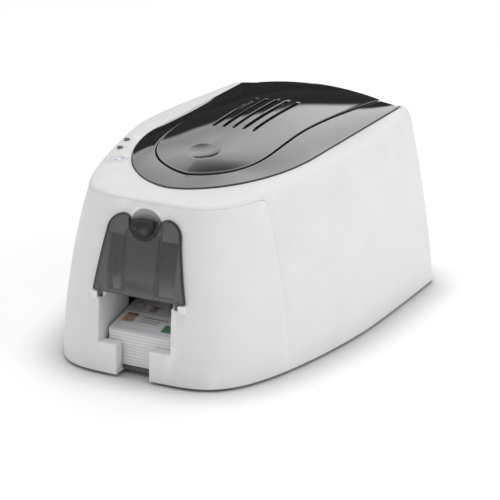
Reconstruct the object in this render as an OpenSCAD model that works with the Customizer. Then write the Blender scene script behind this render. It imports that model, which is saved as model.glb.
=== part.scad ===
// ID card printer: a moulded body with a rear-hinged lid, a card feeder with a clear door,
// an open tray of printed cards, and the card transport, print head and ribbon inside.
// The front faces -Y, +Z is up, and the origin lies under the middle of the body.

/* [Body] */
// Overall width at the foot of the body
body_w = 210; // [195:1:225]
// How far the middle of the body lies to the left of the line of the lid, door and rollers
line_offset = 2.5; // [0:0.25:4]
// Overall depth of the body
body_d = 300; // [285:1:315]
// Height of the edge between the front face and the top
crease_z = 133; // [128:1:136]
// How far each side leans in from the foot to that edge
side_lean = 21; // [17:1:24]
// How far each side swells out again halfway along its upper edge
side_bulge = 8.5; // [5:0.5:10]
// How far the front leans back from the foot to that edge
front_lean = 20.5; // [15:0.5:23]
// Wall of the moulded shells
wall = 2.5; // [2:0.1:3]
// Length of the front that is drawn in to a rounded nose
nose_len = 171; // [160:1:180]
// Radius of the upright rear corners
rear_corner_r = 12; // [10:1:14]
// Height of the shell's lower edge above the table
shell_z = 2; // [1.6:0.1:2.4]
// Distance from the middle back to the front to the seam between bezel and housing
seam_y = -81.5; // [-84:0.5:-78]
// Open joint between bezel and housing
seam_gap = 0.2; // [0.2:0.05:0.5]

/* [Lid] */
// Half width of the lid opening
rim_half_w = 70; // [67:0.5:71]
// Length of the rounded front of the lid opening
rim_nose = 101.8; // [96:1:104]
// Height of the lid opening's edge along the sides
rim_z = 140.3; // [139.5:0.1:141]
// How much lower that edge is at the front tip
rim_drop = 5.6; // [4.5:0.1:6]
// Open joint round the lid
lid_gap = 0.6; // [0.5:0.05:0.8]
// Distance from the rear of the body to the lid's straight rear edge
lid_rear_in = 12.5; // [12:0.5:14]
// Depth of the lid's skirt
skirt = 4.4; // [4:0.1:4.6]
// Half width of the raised panel on the lid
panel_half_w = 45.7; // [43:0.5:47]
// Length of the raised panel's rounded front
panel_nose = 75.2; // [72:1:78]
// Height of the step round the raised panel at the rear
panel_step = 1.2; // [1:0.1:3]
// Height of the raised panel's crown
crown_z = 156.6; // [155.5:0.1:157.5]
// Radius of the finger dimple
dimple_r = 15; // [13:0.5:16]
// Depth of the finger dimple
dimple_depth = 2.75; // [2:0.25:3]
// Number of vent slots in the panel
slot_count = 5; // [3:1:7]
// Distance between vent slots
slot_pitch = 8.1; // [7:0.1:9]
// Width of a vent slot
slot_w = 3; // [2:0.25:4]
// Length of a vent slot
slot_len = 66; // [50:1:72]
// Height of the lid hinge's axis
hinge_z = 130; // [129:0.25:131]
// Distance from the rear of the body to the lid hinge's axis
hinge_in = 20; // [19.5:0.25:21]

/* [Card and paths] */
// Width of a card
card_w = 54; // [53:0.1:55]
// Length of a card
card_l = 85.6; // [84:0.1:87]
// Thickness of a card
card_t = 0.76; // [0.5:0.01:0.9]
// Corner radius of a card
card_r = 3.2; // [2:0.1:4]
// Room at each side of a card in its guides
card_room = 0.8; // [0.5:0.1:1.2]
// Height of the card path, at the lower face of a passing card
path_z = 65.1; // [64.9:0.1:65.3]
// Number of printed cards in the tray
printed_count = 33; // [10:1:34]
// Number of blank cards in the feeder
blank_count = 12; // [4:1:30]
// Tilt of the output tray, low at the front
tray_tilt = 13; // [10:0.5:13.5]
// Lowest point of the printed stack
tray_z = 6.6; // [6.2:0.1:7]

/* [Feeder door] */
// Half width of the door at its foot
door_foot_half = 38; // [36:0.5:39]
// Half width of the door at its shoulders
door_top_half = 30.5; // [29:0.5:32]
// Height of the door's lower edge
door_z = 65; // [64.6:0.1:65.4]
// Height of the door's shoulders
door_top_z = 122.5; // [119:0.5:124]
// Corner radius of the door's shoulders
door_corner_r = 13; // [9:0.5:14]
// How far the door stands proud of the bezel
door_proud = 2.7; // [2.2:0.1:2.8]
// Wall of the door
door_t = 2.2; // [1.8:0.1:2.3]
// Radius of the finger dish in the door's top edge
dish_r = 13.2; // [11:0.1:13.4]
// Height of the middle of the finger dish
dish_z = 119; // [118:0.25:120]
// Height of the door's top edge where it crosses the dish
dish_top_z = 119.25; // [118.5:0.25:119.5]

/* [Output opening] */
// How far the printed stack lies to the left of the door's middle
tray_shift = 4.5; // [2:0.5:5]
// Room between the stack and the left edge of the opening
out_left_room = 2; // [1.8:0.1:3]
// Room between the stack and the right edge of the opening
out_right_room = 4.5; // [2:0.25:5]
// Distance from the front of the body back to the rear of the opening's side walls
reveal_in = 45; // [40:1:48]
// Height of the opening's shoulders
out_shoulder_z = 25; // [22:0.5:28]
// Height of the opening's upper edge
out_top_z = 61; // [59:0.5:61.5]
// Left edge of the notch that runs down to the table
notch_left = -18.5; // [-21:0.5:-17]
// Right edge of the notch
notch_right = 9.5; // [7:0.5:11]

/* [Mechanism] */
// Distance between the inner faces of the side plates
plates_w = 120; // [118:0.5:122]
// Thickness of the side plates
plate_t = 1.5; // [1.2:0.1:2]
// Radius of the driven rollers
roller_r = 7; // [6.6:0.1:7.2]
// Radius of the driven rollers' shafts
shaft_r = 3; // [2.5:0.1:3.2]
// Radius of the free rollers' shafts
pin_r = 2; // [1.6:0.1:2.4]
// Radius of the pinch rollers
pinch_r = 5; // [4.5:0.1:5.4]
// Radius of the cleaning roller
cleaner_r = 6; // [5:0.1:6.4]
// Running clearance of a shaft in its hole
run = 0.05; // [0.02:0.01:0.08]
// Clearance of parts that pass each other
pass = 0.3; // [0.3:0.05:0.4]
// Gear module
gear_m = 1; // [1:0.5:1]
// Width of a gear
gear_w = 5; // [4:0.25:6]
// Distance from the front of the body to the platen roller under the print head
platen_in = 185; // [183:0.5:187]
// Radius of the full ribbon roll
supply_r = 16; // [12:0.5:18]
// Radius of the used ribbon roll
used_r = 11; // [9.5:0.5:15]
// Radius of the ribbon cores
core_r = 8; // [7:0.25:9]
// Width of the ribbon
ribbon_w = 62; // [58:1:64]

/* [Hidden] */
$fn = 48;
front_end = -body_d / 2;
rear_end = body_d / 2;
lid_rear_y = rear_end - lid_rear_in;
hinge_y = rear_end - hinge_in;
platen_y = front_end + platen_in;

// ---- body shell -------------------------------------------------------------------------
nose_n = 5.1;             // squareness of the nose across the body
nose_m = 1.35;            // squareness of the nose along the body
nose_y = front_end + nose_len;
rear_taper = 2;           // how much each side draws in per square of 100 mm
side_pow = 1.42;
front_pow = 2.6;
bulge_y = 20;             // where the sides swell most
bulge_front = 115;        // reach of the swelling towards the front
bulge_rear = 125;         // reach of the swelling towards the rear
corner_sweep = 80;        // spreads the columns of points round the nose
front_roll = 3;           // softness of the edge at the front
side_roll = 9;            // softness of the edge along the sides
side_crest_z = 139.7;     // height of that edge along the sides
seam_crest_z = 134;       // height of that edge at the seam
lip_t = 1.8;              // wall round the lid opening
lip_h = 4.2;              // depth of that wall
rear_reach = 5;           // how far the opening runs into the rear corners
rear_panel_half = 66;
cols_nose = 18;
cols_side = 9;
cols_long = 5;
cols_corner = 5;
cols_half = cols_nose + cols_side + cols_long + cols_corner + 1;
rows_side = 9;
rows_roll = 6;
rows_strip = 2;
rows_shell = rows_side + rows_roll + rows_strip + 1;
parting_z = 131;          // height of the bezel's upper edge
parting_r = 6;            // radius where that edge turns down into the seam

function half_w(z, d) = body_w / 2 - d - side_lean * pow(z / crease_z, side_pow);
function front_y(z, d = 0) = front_end + d + front_lean * pow(z / crease_z, front_pow);
function draw_in(y) = rear_taper * pow((y - nose_y) / 100, 2);
// one point of the plan of the right half, counted from the middle of the front to the rear
function swell(y) =
    let (u = y < bulge_y ? (bulge_y - y) / bulge_front : (y - bulge_y) / bulge_rear)
    pow(max(0, 1 - u * u), 1.5);
function plan(k, z, d) =
    let (p = plain_plan(k, z, d))
    [p[0] + side_bulge * pow(z / crease_z, side_pow) * swell(p[1]), p[1]];
function plain_plan(k, z, d) =
    let (w = half_w(z, d), l = nose_y - front_y(z, d), s = nose_y - seam_y, yc = rear_end - rear_corner_r,
         j = k - cols_nose, i = j - cols_side, h = i - cols_long)
    k <= cols_nose ?
        let (xs = w * pow(1 - pow(s / l, nose_m), 1 / nose_n),
             x = xs * sin(corner_sweep * k / cols_nose) / sin(corner_sweep))
        [x, nose_y - l * pow(1 - pow(x / w, nose_n), 1 / nose_m)] :
    j <= cols_side ?
        let (v = s * (1 - j / cols_side))
        [w * pow(1 - pow(v / l, nose_m), 1 / nose_n), nose_y - v] :
    i <= cols_long ?
        let (y = nose_y + (yc - nose_y) * i / cols_long) [w - draw_in(y), y] :
    h <= cols_corner ?
        let (a = 90 * h / cols_corner, r = rear_corner_r - d)
        [w - draw_in(yc) - r + r * cos(a), yc + r * sin(a)] :
    [rear_panel_half, rear_end - d];

// edge of the lid opening, set in by d
rim_n = 1.74;
rim_y = rim_nose - 104.2;
function rim_height(y) = rim_z - rim_drop * pow(max(0, (rim_y - y) / rim_nose), 1.3);
function nose_curve(t, w, l, n, m) = [w * pow(sin(90 * t), 2 / n), -l * pow(cos(90 * t), 2 / m)];
function rim_plan(k, d) =
    let (kn = cols_nose + cols_side, i = k - kn, h = i - cols_long, yc = rear_end - rear_corner_r)
    k <= kn ? nose_curve(k / kn, rim_half_w - d, rim_nose - d, rim_n, 2) + [0, rim_y] :
    i <= cols_long ? [rim_half_w - d, rim_y + (yc - rim_y) * i / cols_long] :
    [min(rim_half_w - d, plan(k, rim_z, wall)[0]), yc + (rear_reach - d) * min(1, h / cols_corner)];

function smooth(t) = let (u = max(0, min(1, t))) u * u * (3 - 2 * u);
function crest_z(k) = k <= cols_nose ? crease_z + (seam_crest_z - crease_z) * smooth(k / cols_nose) :
    seam_crest_z + (side_crest_z - seam_crest_z) * smooth((k - cols_nose) / (cols_side + 2));
function roll(k) = front_roll + (side_roll - front_roll) * smooth((k - cols_nose + 3) / cols_side);
function on_body(s, p) = [s * p[0] - line_offset, p[1]];
function on_line(s, p) = [s * p[0], p[1]];
// one point of the shell, from the foot up over the edge to the rim and down its lip
function shell_point(row, side, k, d) =
    let (rl = roll(k), za = crest_z(k) - rl, zc = crest_z(k) - d, rim_d = d > 0 ? -lip_t : 0,
         c = concat(on_body(side, plan(k, crest_z(k), d)), zc), rp = on_line(side, rim_plan(k, rim_d)),
         r = concat(rp, rim_height(rp[1]) - d), a = concat(on_body(side, plan(k, za, d)), za - d * 0.6),
         to_r = (r - c) / norm(r - c), e = c + to_r * min(rl, norm(r - c) * 0.8),
         j = row - rows_side, s = j - rows_roll)
    row < rows_side ?
        let (z = shell_z + (za - d * 0.6 - shell_z) * row / rows_side)
            concat(on_body(side, plan(k, z, d)), z) :
    j <= rows_roll ? let (t = j / rows_roll) a * (1 - t) * (1 - t) + c * 2 * t * (1 - t) + e * t * t :
    s <= rows_strip ? e + (r - e) * s / rows_strip :
    concat(rp, rim_height(rp[1]) - lip_h);

function span(half) = [for (c = [-half:half]) c];

// closed solid between an outer and an inner grid of points with equal rows and columns
module grid_solid(outer, inner) {
    rows = len(outer);
    cols = len(outer[0]);
    n = rows * cols;
    points = concat([for (r = outer) each r], [for (r = inner) each r]);
    function quad(a, b, c, d) = [[a, b, c], [a, c, d]];
    faces = concat(
        [for (r = [0:rows - 2], c = [0:cols - 2]) let (p = r * cols + c)
            each quad(p, p + cols, p + cols + 1, p + 1)],
        [for (r = [0:rows - 2], c = [0:cols - 2]) let (p = n + r * cols + c)
            each quad(p, p + 1, p + cols + 1, p + cols)],
        [for (c = [0:cols - 2]) each quad(c, c + 1, n + c + 1, n + c)],
        [for (c = [0:cols - 2]) let (p = (rows - 1) * cols + c) each quad(p, n + p, n + p + 1, p + 1)],
        [for (r = [0:rows - 2]) let (p = r * cols) each quad(p, n + p, n + p + cols, p + cols)],
        [for (r = [0:rows - 2]) let (p = r * cols + cols - 1)
            each quad(p, p + cols, n + p + cols, n + p)]);
    polyhedron(points, faces, convexity = 8);
}

module shell() {
    function row(r, d) = [for (c = span(cols_half)) shell_point(r, sign(c), abs(c), d)];
    grid_solid([for (r = [0:rows_shell]) row(r, 0)], [for (r = [0:rows_shell]) row(r, wall)]);
}

// everything in front of the seam and below the parting, grown by g
module bezel_region(g) {
    far = body_d;
    y = seam_y + g;
    z = parting_z + g;
    r = parting_r;
    corner = [for (a = [0:15:90]) [y - r + r * cos(a), z - r + r * sin(a)]];
    translate([-body_w, 0, 0]) rotate([90, 0, 90])
        linear_extrude(2 * body_w) polygon(concat([[-far, -1], [y, -1]], corner, [[-far, z]]));
}

// half width of the shell at a height and a place along it, about the body's own middle
function side_x(y, z, d) =
    let (w = half_w(z, d), l = nose_y - front_y(z, d),
         x = y < nose_y ? w * pow(1 - pow((nose_y - y) / l, nose_m), 1 / nose_n) : w - draw_in(y))
    x + side_bulge * pow(z / crease_z, side_pow) * swell(y);

module box(x0, x1, y0, y1, z0, z1) {
    translate([x0, y0, z0]) cube([x1 - x0, y1 - y0, z1 - z0]);
}
// a round bar along X
module bar_x(r, x0, x1, y, z) {
    translate([x0, y, z]) rotate([0, 90, 0]) cylinder(r = r, h = x1 - x0);
}
module post(r, x, y, z0, z1) {
    translate([x, y, z0]) cylinder(r = r, h = z1 - z0);
}
module both_sides() {
    children();
    mirror([1, 0, 0]) children();
}

// ---- base ---------------------------------------------------------------------------------
pan_z = shell_z + 0.3;
pan_top = 5;
pan_room = 0.4;
boss_r = 4;
side_boss_y = [-20, 60, rear_end - 30];
boss_top = 24;
bezel_boss_y = front_end + 46;
foot_r = 9;
foot_top = pan_z + 0.8;
foot_x = 72;
// four feet near the corners and one under the middle
feet = [[-foot_x, front_end + 58], [foot_x, front_end + 58], [-foot_x, rear_end - 28],
        [foot_x, rear_end - 28], [0, 0]];
plate_in = plates_w / 2;
plate_out = plate_in + plate_t;
board_z = 12;
board_t = 1.6;
board_x = [-54, 18];
board_y = [rear_end - 88, rear_end - 18];
board_pad = 4;            // from the board's edges to its screws
vent_y = [14, 50];        // ends of the pan's vent slots
vent_w = 3;

module base_pan() {
    k = span(cols_half);
    outline = [for (c = k) on_body(sign(c), plan(abs(c), pan_z, wall + pan_room))];
    color("whitesmoke") difference() {
        union() {
            translate([0, 0, pan_z]) linear_extrude(pan_top - pan_z) polygon(outline);
            for (x = board_x + [board_pad, -board_pad], y = board_y + [board_pad, -board_pad])
                post(3, x, y, pan_top, board_z);
        }
        box(notch_left, notch_right, -body_d, tray_step_y, 0, pan_top + 1);
        for (i = [0:7]) let (x = -42 + i * 12) box(x, x + vent_w, vent_y[0], vent_y[1], 0, pan_top + 1);
        for (p = feet) post(foot_r + pass, p[0], p[1], 0, foot_top);
    }
}

module rubber_feet() {
    color("dimgray") for (p = feet) translate([p[0], p[1], 0]) rotate_extrude()
        polygon([[0, 0], [foot_r - 1, 0], [foot_r, 1], [foot_r, foot_top], [0, foot_top]]);
}

// ---- front bezel, housing and rear panel --------------------------------------------------
recess_z = 115;           // middle of the finger recess above the door
recess_r = 15;
recess_out = 5.6;         // how far the recess's ball stands in front of the face
recess_wall = 2;
feeder_half = 28.5;       // half width of the feeder opening
feeder_top = 107;
ear_x = [33.5, 38.5];     // hinge ears beside the door's foot
hinge_r = 1;
door_axis_y = front_y(door_z) - 1.3;
door_axis_z = door_z - 3.6;
lug_x = [30.6, ear_x[0] - pass];
lug_r = 1.5;
lug_pocket = 1.3;

out_right = card_w / 2 - tray_shift + out_right_room;
out_left = -card_w / 2 - tray_shift - out_left_room;
reveal_t = 2;
stack_front_y = front_end + 10.5;

module out_opening() {
    y0 = -body_d;
    y1 = seam_y;
    box(out_left, out_right, y0, y1, out_shoulder_z, out_top_z);
    box(notch_left, notch_right, y0, y1, -1, out_shoulder_z + 1);
    box(-feeder_half, feeder_half, y0, y1, out_top_z - 1, feeder_top);
}

// a wall from the inside of the front face back to y
module behind_face(x0, x1, y, z1) {
    z0 = pan_top + pan_room;
    front = [for (i = [0:8]) let (z = z0 + (z1 - z0) * i / 8) [front_y(z) + wall / 2, z]];
    translate([x0, 0, 0]) rotate([90, 0, 90]) linear_extrude(x1 - x0)
        polygon(concat(front, [[y, z1], [y, z0]]));
}
// the opening's side walls and the thick shoulders beside the notch
module out_reveal() {
    y1 = stack_front_y - 1.6;
    y2 = front_end + reveal_in;
    behind_face(out_left - reveal_t, notch_left, y1, out_shoulder_z);
    behind_face(notch_right, out_right + reveal_t, y1, out_shoulder_z);
    behind_face(out_left - reveal_t, out_left, y2, out_top_z);
    behind_face(out_right, out_right + reveal_t, y2, out_top_z);
}

// a pair of posts that stand on the base pan, each with a rib to the shell beside it
module shell_boss(x, y) {
    translate([-line_offset, 0, 0]) both_sides() {
        post(boss_r, x, y, pan_top, boss_top);
        box(x, side_x(y, boss_top, wall) + 1, y - 1, y + 1, pan_top, boss_top);
    }
}

module front_bezel() {
    face = front_y(recess_z);
    color("gainsboro") difference() {
        union() {
            difference() {
                intersection() { shell(); bezel_region(0); }
                both_sides() box(lug_x[0] - pass, ear_x[0], -body_d, door_axis_y + lug_r + lug_pocket,
                    door_axis_z - lug_r - pass, door_z + 2);
            }
            intersection() {
                translate([0, face - recess_out, recess_z]) sphere(r = recess_r + recess_wall, $fn = 64);
                box(-20, 20, face + 1.6, face + 20, recess_z - 20, parting_z - 0.5);
            }
            both_sides() box(ear_x[0], ear_x[1], front_end + 0.1, door_axis_y + 4, door_axis_z - 3,
                door_axis_z + 2.6);
            shell_boss(side_x(bezel_boss_y, boss_top, wall) - 12, bezel_boss_y);
            out_reveal();
        }
        translate([0, face - recess_out, recess_z]) sphere(r = recess_r, $fn = 64);
        out_opening();
        both_sides() bar_x(hinge_r + run, ear_x[0] - 1, ear_x[1] - 1, door_axis_y, door_axis_z);
    }
}

// places on the strip beside the lid: [x, y]
button_at = [-65, -67];
light_at = [[-75.5, -43.5], [-79.5, -26.5]];
button_r = 6.5;
light_r = 2.2;
strip_z = 138;

module housing() {
    color("white") difference() {
        union() {
            difference() { shell(); bezel_region(seam_gap); }
            for (y = side_boss_y) shell_boss(side_x(y, boss_top, wall) - 6, y);
        }
        post(button_r + pass, button_at[0], button_at[1], strip_z - 12, strip_z + 12);
        for (p = light_at) post(light_r, p[0], p[1], strip_z - 12, strip_z + 12);
    }
}

// well behind the lid, in which its rear edge turns as it opens
well_r = 22.2;
well_t = 2;
well_half = 53.5;
well_front = 7.5;         // from the hinge's axis back to the well's front edge
module rear_panel() {
    x = rear_panel_half - pass;
    y = body_d / 2;
    color("whitesmoke") translate([-line_offset, 0, 0]) difference() {
        union() {
            box(-x, x, y - wall, y, pan_z, rear_top_z);
            box(-x + 2, x - 2, y - wall - 2.5, y - wall + 0.1, pan_top, pan_top + 4);
            intersection() {
                bar_x(well_r + well_t, line_offset - well_half, line_offset + well_half, hinge_y, hinge_z);
                box(-x, x, hinge_y + well_front, y - wall + 0.1, 0, hinge_z);
            }
        }
        bar_x(well_r, line_offset - well_half, line_offset + well_half, hinge_y, hinge_z);
        box(usb_x - usb_w / 2 - 0.4, usb_x + usb_w / 2 + 0.4, y - 2 * wall, y + 1,
            port_z - 0.4, port_z + usb_h + 0.4);
        translate([inlet_x, y + 1, port_z + inlet_h / 2]) rotate([90, 0, 0]) cylinder(r = 4.6, h = 3 * wall);
        for (i = [0:9]) box(-36 + i * 8, -33 + i * 8, y - 2 * wall, y + 1, 60, 95);
    }
}

// ---- lid ----------------------------------------------------------------------------------
lid_cols_nose = 20;
lid_cols_long = 7;
lid_cols = lid_cols_nose + lid_cols_long;
panel_n = 1.47;
panel_m = 4.14;
panel_y = panel_nose - 75.8;
panel_flare = 3.6;        // how much the panel widens towards the rear per square of 100 mm
panel_gap = 0.9;          // groove round the panel
edge_crest_y = 28.5;
edge_crest_z = crown_z - 5.4;
crown_y = 62;
deck_t = 2.5;

// a height that falls away in front of and behind its crest
function arch(y, y0, z0, front, front_len, front_pow, rear, rear_len, rear_pow) =
    y < y0 ? z0 - front * pow((y0 - y) / front_len, front_pow) :
    z0 - rear * pow((y - y0) / rear_len, rear_pow);
function edge_height(y) = arch(y, edge_crest_y, edge_crest_z, 12.8, 104.3, 1.9, 6.2, 107.5, 1.8);
// height of the deck beside the raised panel, closest to it at the front
function deck_edge(y) = edge_height(y) - panel_step * (0.6 + 0.4 * smooth((y - tip_panel_y) / 90));
function crown_height(y) = arch(y, crown_y, crown_z, 16, 137.8, 2.6, 6.3, 74.5, 2);
function lid_rim(k, d) =
    let (i = k - lid_cols_nose)
    k <= lid_cols_nose ? nose_curve(k / lid_cols_nose, rim_half_w - d, rim_nose - d, rim_n, 2) + [0, rim_y] :
    [rim_half_w - d, rim_y + (lid_rear_y - rim_y) * i / lid_cols_long];
function panel_rim(k, d) =
    let (i = k - lid_cols_nose, y = panel_y + (lid_rear_y - panel_y) * i / lid_cols_long)
    k <= lid_cols_nose ?
        nose_curve(k / lid_cols_nose, panel_half_w - d, panel_nose - d, panel_n, panel_m) + [0, panel_y] :
    [panel_half_w - d + panel_flare * pow((y - panel_y) / 100, 2), y];
function spine_y(y) = y + 40 * pow(max(0, (-6 - y) / (-6 - tip_panel_y)), 2);
// height of the panel's middle between its tip and the front end of its crown line
function nose_height(y) =
    let (y1 = spine_y(tip_panel_y), z0 = edge_height(tip_panel_y), s = (y - tip_panel_y) / (y1 - tip_panel_y))
    z0 + (crown_height(y1) - z0) * (1 - pow(max(0, 1 - s), 2.1));
tip_panel_y = panel_y - panel_nose;

rows_deck = 6;
deck_swell = 0.13;        // how far the deck swells, as a share of its rise
// the lid's rim stands a little above the opening's edge, with a rounded upper edge
rim_up = 1.2;
rim_round = 1;
collar_t = 1.5;           // wall round the raised panel, under the deck
collar_h = 1.5;
function deck_point(row, k, low) =
    let (t = low ? deck_t : 0, r = lid_rim(k, lid_gap + t), z = rim_height(r[1]) + rim_up,
         e = panel_rim(k, -panel_gap - (low ? collar_t : 0)), ze = deck_edge(e[1]) - t,
         a = concat(lid_rim(k, lid_gap + (low ? t : rim_round)), z - t), b = concat(e, ze),
         j = row - 2, s = j / rows_deck)
    row == 0 ? concat(r, rim_height(r[1]) + rim_up - skirt) :
    row == 1 ? concat(r, z - (low ? t + 1 : rim_round)) :
    j <= rows_deck ? a + (b - a) * s + [0, 0, deck_swell * (b[2] - a[2]) * sin(180 * s)] :
    concat(e, ze - (low ? collar_h : collar_h + deck_t));
function mirrored(k, p) = [k < 0 ? -p[0] : p[0], p[1], p[2]];

module lid_cover() {
    rows = rows_deck + 3;
    function row(r, low) = [for (k = span(lid_cols)) mirrored(k, deck_point(r, abs(k), low))];
    y0 = lid_rear_y - deck_t;
    z0 = rim_height(lid_rear_y) + rim_up - skirt;
    e = panel_rim(lid_cols, -panel_gap);
    half = rim_half_w - lid_gap - 1;
    under = deck_edge(lid_rear_y) - deck_t - 2;
    color("black") union() {
        grid_solid([for (r = [0:rows]) row(r, false)], [for (r = [0:rows]) row(r, true)]);
        translate([0, lid_rear_y, 0]) rotate([90, 0, 0]) linear_extrude(deck_t)
            polygon([[-half, z0], [half, z0], [half, rim_height(lid_rear_y) - 0.8],
                     [e[0] + 1, under], [-e[0] - 1, under], [-half, rim_height(lid_rear_y) - 0.8]]);
        for (p = cover_posts, s = [-1, 1])
            post(3.5, s * p[0], p[1], frame_top, deck_low(p) + 1);
        post(3.5, 0, front_post_y, frame_top, rim_height(front_post_y) + rim_up - deck_t + 1);
    }
}
cover_posts = [[56, 0], [58, 60], [58, hinge_y - 30]];
front_post_y = -84;
panel_posts = [[22, -20], [34, 30], [36, hinge_y - 30]];
// height of the underside of the deck and of the panel at a post
function deck_low(p) =
    let (z = rim_height(p[1]) + rim_up, x = rim_half_w - lid_gap, f = (x - p[0]) / (x - panel_half_w))
    z - deck_t + f * (deck_edge(p[1]) - z);
function panel_low(p) =
    let (z = edge_height(p[1])) z - deck_t + (crown_height(p[1]) - z) * (1 - pow(p[0] / panel_half_w, 2.1));

rows_panel = 7;
panel_skirt = 4.2;        // depth of the raised panel's edge
function panel_point(row, k, low) =
    let (t = low ? deck_t : 0, e = panel_rim(k, t), ze = edge_height(e[1]) - t, ys = spine_y(e[1]),
         top = [0, ys, crown_height(ys) - t], a = concat(panel_rim(k, low ? t : rim_round), ze),
         s = (row - 2) / rows_panel, h = 1 - pow(1 - s, 2.1))
    row == 0 ? concat(e, ze + t - panel_skirt) :
    row == 1 ? concat(e, ze - (low ? 0.8 : rim_round)) :
    [a[0] + (top[0] - a[0]) * s, a[1] + (top[1] - a[1]) * s, a[2] + (top[2] - a[2]) * h];

// closed solid like grid_solid, whose last row folds onto itself along the middle
module folded_solid(outer, inner) {
    rows = len(outer);
    cols = len(outer[0]);
    mid = (cols - 1) / 2;
    n = rows * cols;
    points = concat([for (r = outer) each r], [for (r = inner) each r]);
    function at(r, c) = r * cols + (r == rows - 1 && c > mid ? cols - 1 - c : c);
    function tri(a, b, c) = a == b || b == c || a == c ? [] : [[a, b, c]];
    function quad(a, b, c, d) = concat(tri(a, b, c), tri(a, c, d));
    faces = concat(
        [for (r = [0:rows - 2], c = [0:cols - 2])
            each quad(at(r, c), at(r + 1, c), at(r + 1, c + 1), at(r, c + 1))],
        [for (r = [0:rows - 2], c = [0:cols - 2])
            each quad(n + at(r, c), n + at(r, c + 1), n + at(r + 1, c + 1), n + at(r + 1, c))],
        [for (c = [0:cols - 2]) each quad(c, c + 1, n + c + 1, n + c)],
        [for (r = [0:rows - 2]) each quad(at(r, 0), n + at(r, 0), n + at(r + 1, 0), at(r + 1, 0))],
        [for (r = [0:rows - 2]) let (c = cols - 1)
            each quad(at(r, c), at(r + 1, c), n + at(r + 1, c), n + at(r, c))]);
    polyhedron(points, faces, convexity = 8);
}

dimple_y = -50;
dimple_ball = (dimple_r * dimple_r + dimple_depth * dimple_depth) / (2 * dimple_depth);
dimple_z = nose_height(dimple_y);
dimple_lean = atan((nose_height(dimple_y + 1) - nose_height(dimple_y - 1)) / 2);
dimple_wall = 2;
dimple_seat_r = dimple_r - 4;   // the thickened floor stays inside the dimple's rim
slot_y = -5;
slot_stagger = 1.2;       // each slot starts a little further back than the one to its left

function slot_x(i) = 1 + (i - (slot_count - 1) / 2) * slot_pitch;
module panel_slots() {
    for (i = [0:slot_count - 1]) {
        x = slot_x(i);
        y = slot_y + i * slot_stagger;
        box(x - slot_w / 2, x + slot_w / 2, y, y + slot_len, crown_z - 14, crown_z + 2);
        for (e = [0, slot_len]) post(slot_w / 2, x, y + e, crown_z - 14, crown_z + 2);
    }
}

// a ball sunk into the panel square to its slope
module dimple_bowl(r) {
    translate([0, 0, dimple_ball - dimple_depth]) sphere(r = r, $fn = 96);
}

module lid_panel() {
    rows = rows_panel + 2;
    function row(r, low) = [for (k = span(lid_cols)) mirrored(k, panel_point(r, abs(k), low))];
    seat = [0, dimple_y, dimple_z];
    color("black") difference() {
        union() {
            folded_solid([for (r = [0:rows]) row(r, false)], [for (r = [0:rows]) row(r, true)]);
            translate(seat) rotate([dimple_lean, 0, 0]) intersection() {
                dimple_bowl(dimple_ball + dimple_wall);
                post(dimple_seat_r, 0, 0, -dimple_depth - 2 * dimple_wall, -0.6);
            }
            for (p = panel_posts, s = [-1, 1]) post(3.5, s * p[0], p[1], frame_top, panel_low(p) + 1);
        }
        translate(seat) rotate([dimple_lean, 0, 0]) dimple_bowl(dimple_ball);
        panel_slots();
    }
}

frame_top = 130.5;
frame_t = 2.5;
hinge_room = 0.6;
arm_t = 3;
arm_in = plate_in - hinge_room - arm_t;
arm_y = hinge_y - 22;      // front end of the hinge arms
frame_half = 52;
hinge_pin_r = 2.5;
ear_r = 4.5;
hook_x = 16;

module lid_frame() {
    front = [for (k = span(lid_cols_nose)) let (p = lid_rim(abs(k), 9))
        [sign(k) * min(p[0], frame_half), p[1] + 6]];
    color("dimgray") difference() {
        union() {
            translate([0, 0, frame_top - frame_t]) linear_extrude(frame_t) polygon(concat(front,
                [[frame_half, arm_y - 4], [arm_in + arm_t, arm_y], [arm_in + arm_t, hinge_y - 8],
                 [-arm_in - arm_t, hinge_y - 8], [-arm_in - arm_t, arm_y], [-frame_half, arm_y - 4]]));
            both_sides() {
                box(arm_in, arm_in + arm_t, arm_y, hinge_y, frame_top - frame_t, hinge_z + ear_r);
                bar_x(ear_r, arm_in, arm_in + arm_t, hinge_y, hinge_z);
                bar_x(hinge_pin_r, arm_in + arm_t - 0.5, plate_out + 1, hinge_y, hinge_z);
                box(hook_x, hook_x + 8, keeper_y + 4.5, keeper_y + 7, keeper_z - 2.5, frame_top - 1);
                box(hook_x, hook_x + 8, keeper_y + 3.8, keeper_y + 5, keeper_z - 2.5, keeper_z - 0.6);
            }
            for (s = [-1, 1], p = cover_posts) let (x = [s * (frame_half - 7), s * p[0]])
                box(min(x), max(x), p[1] - 4, p[1] + 4,
                    frame_top - frame_t, frame_top);
        }
        for (i = [0:slot_count - 1]) let (x = slot_x(i), y = slot_y + 8)
            box(x - 2, x + 2, y, y + 22, 0, frame_top + 1);
        box(-30, 30, supply_y - supply_r, supply_y + supply_r, 0, frame_top + 1);
    }
}
keeper_y = platen_y - 85;
keeper_z = 114;

// ---- print head ---------------------------------------------------------------------------
head_half = 31;
head_z = path_z + card_t + 1.3;
head_h = 7;
sink_h = 16;
fin_count = 7;

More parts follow.
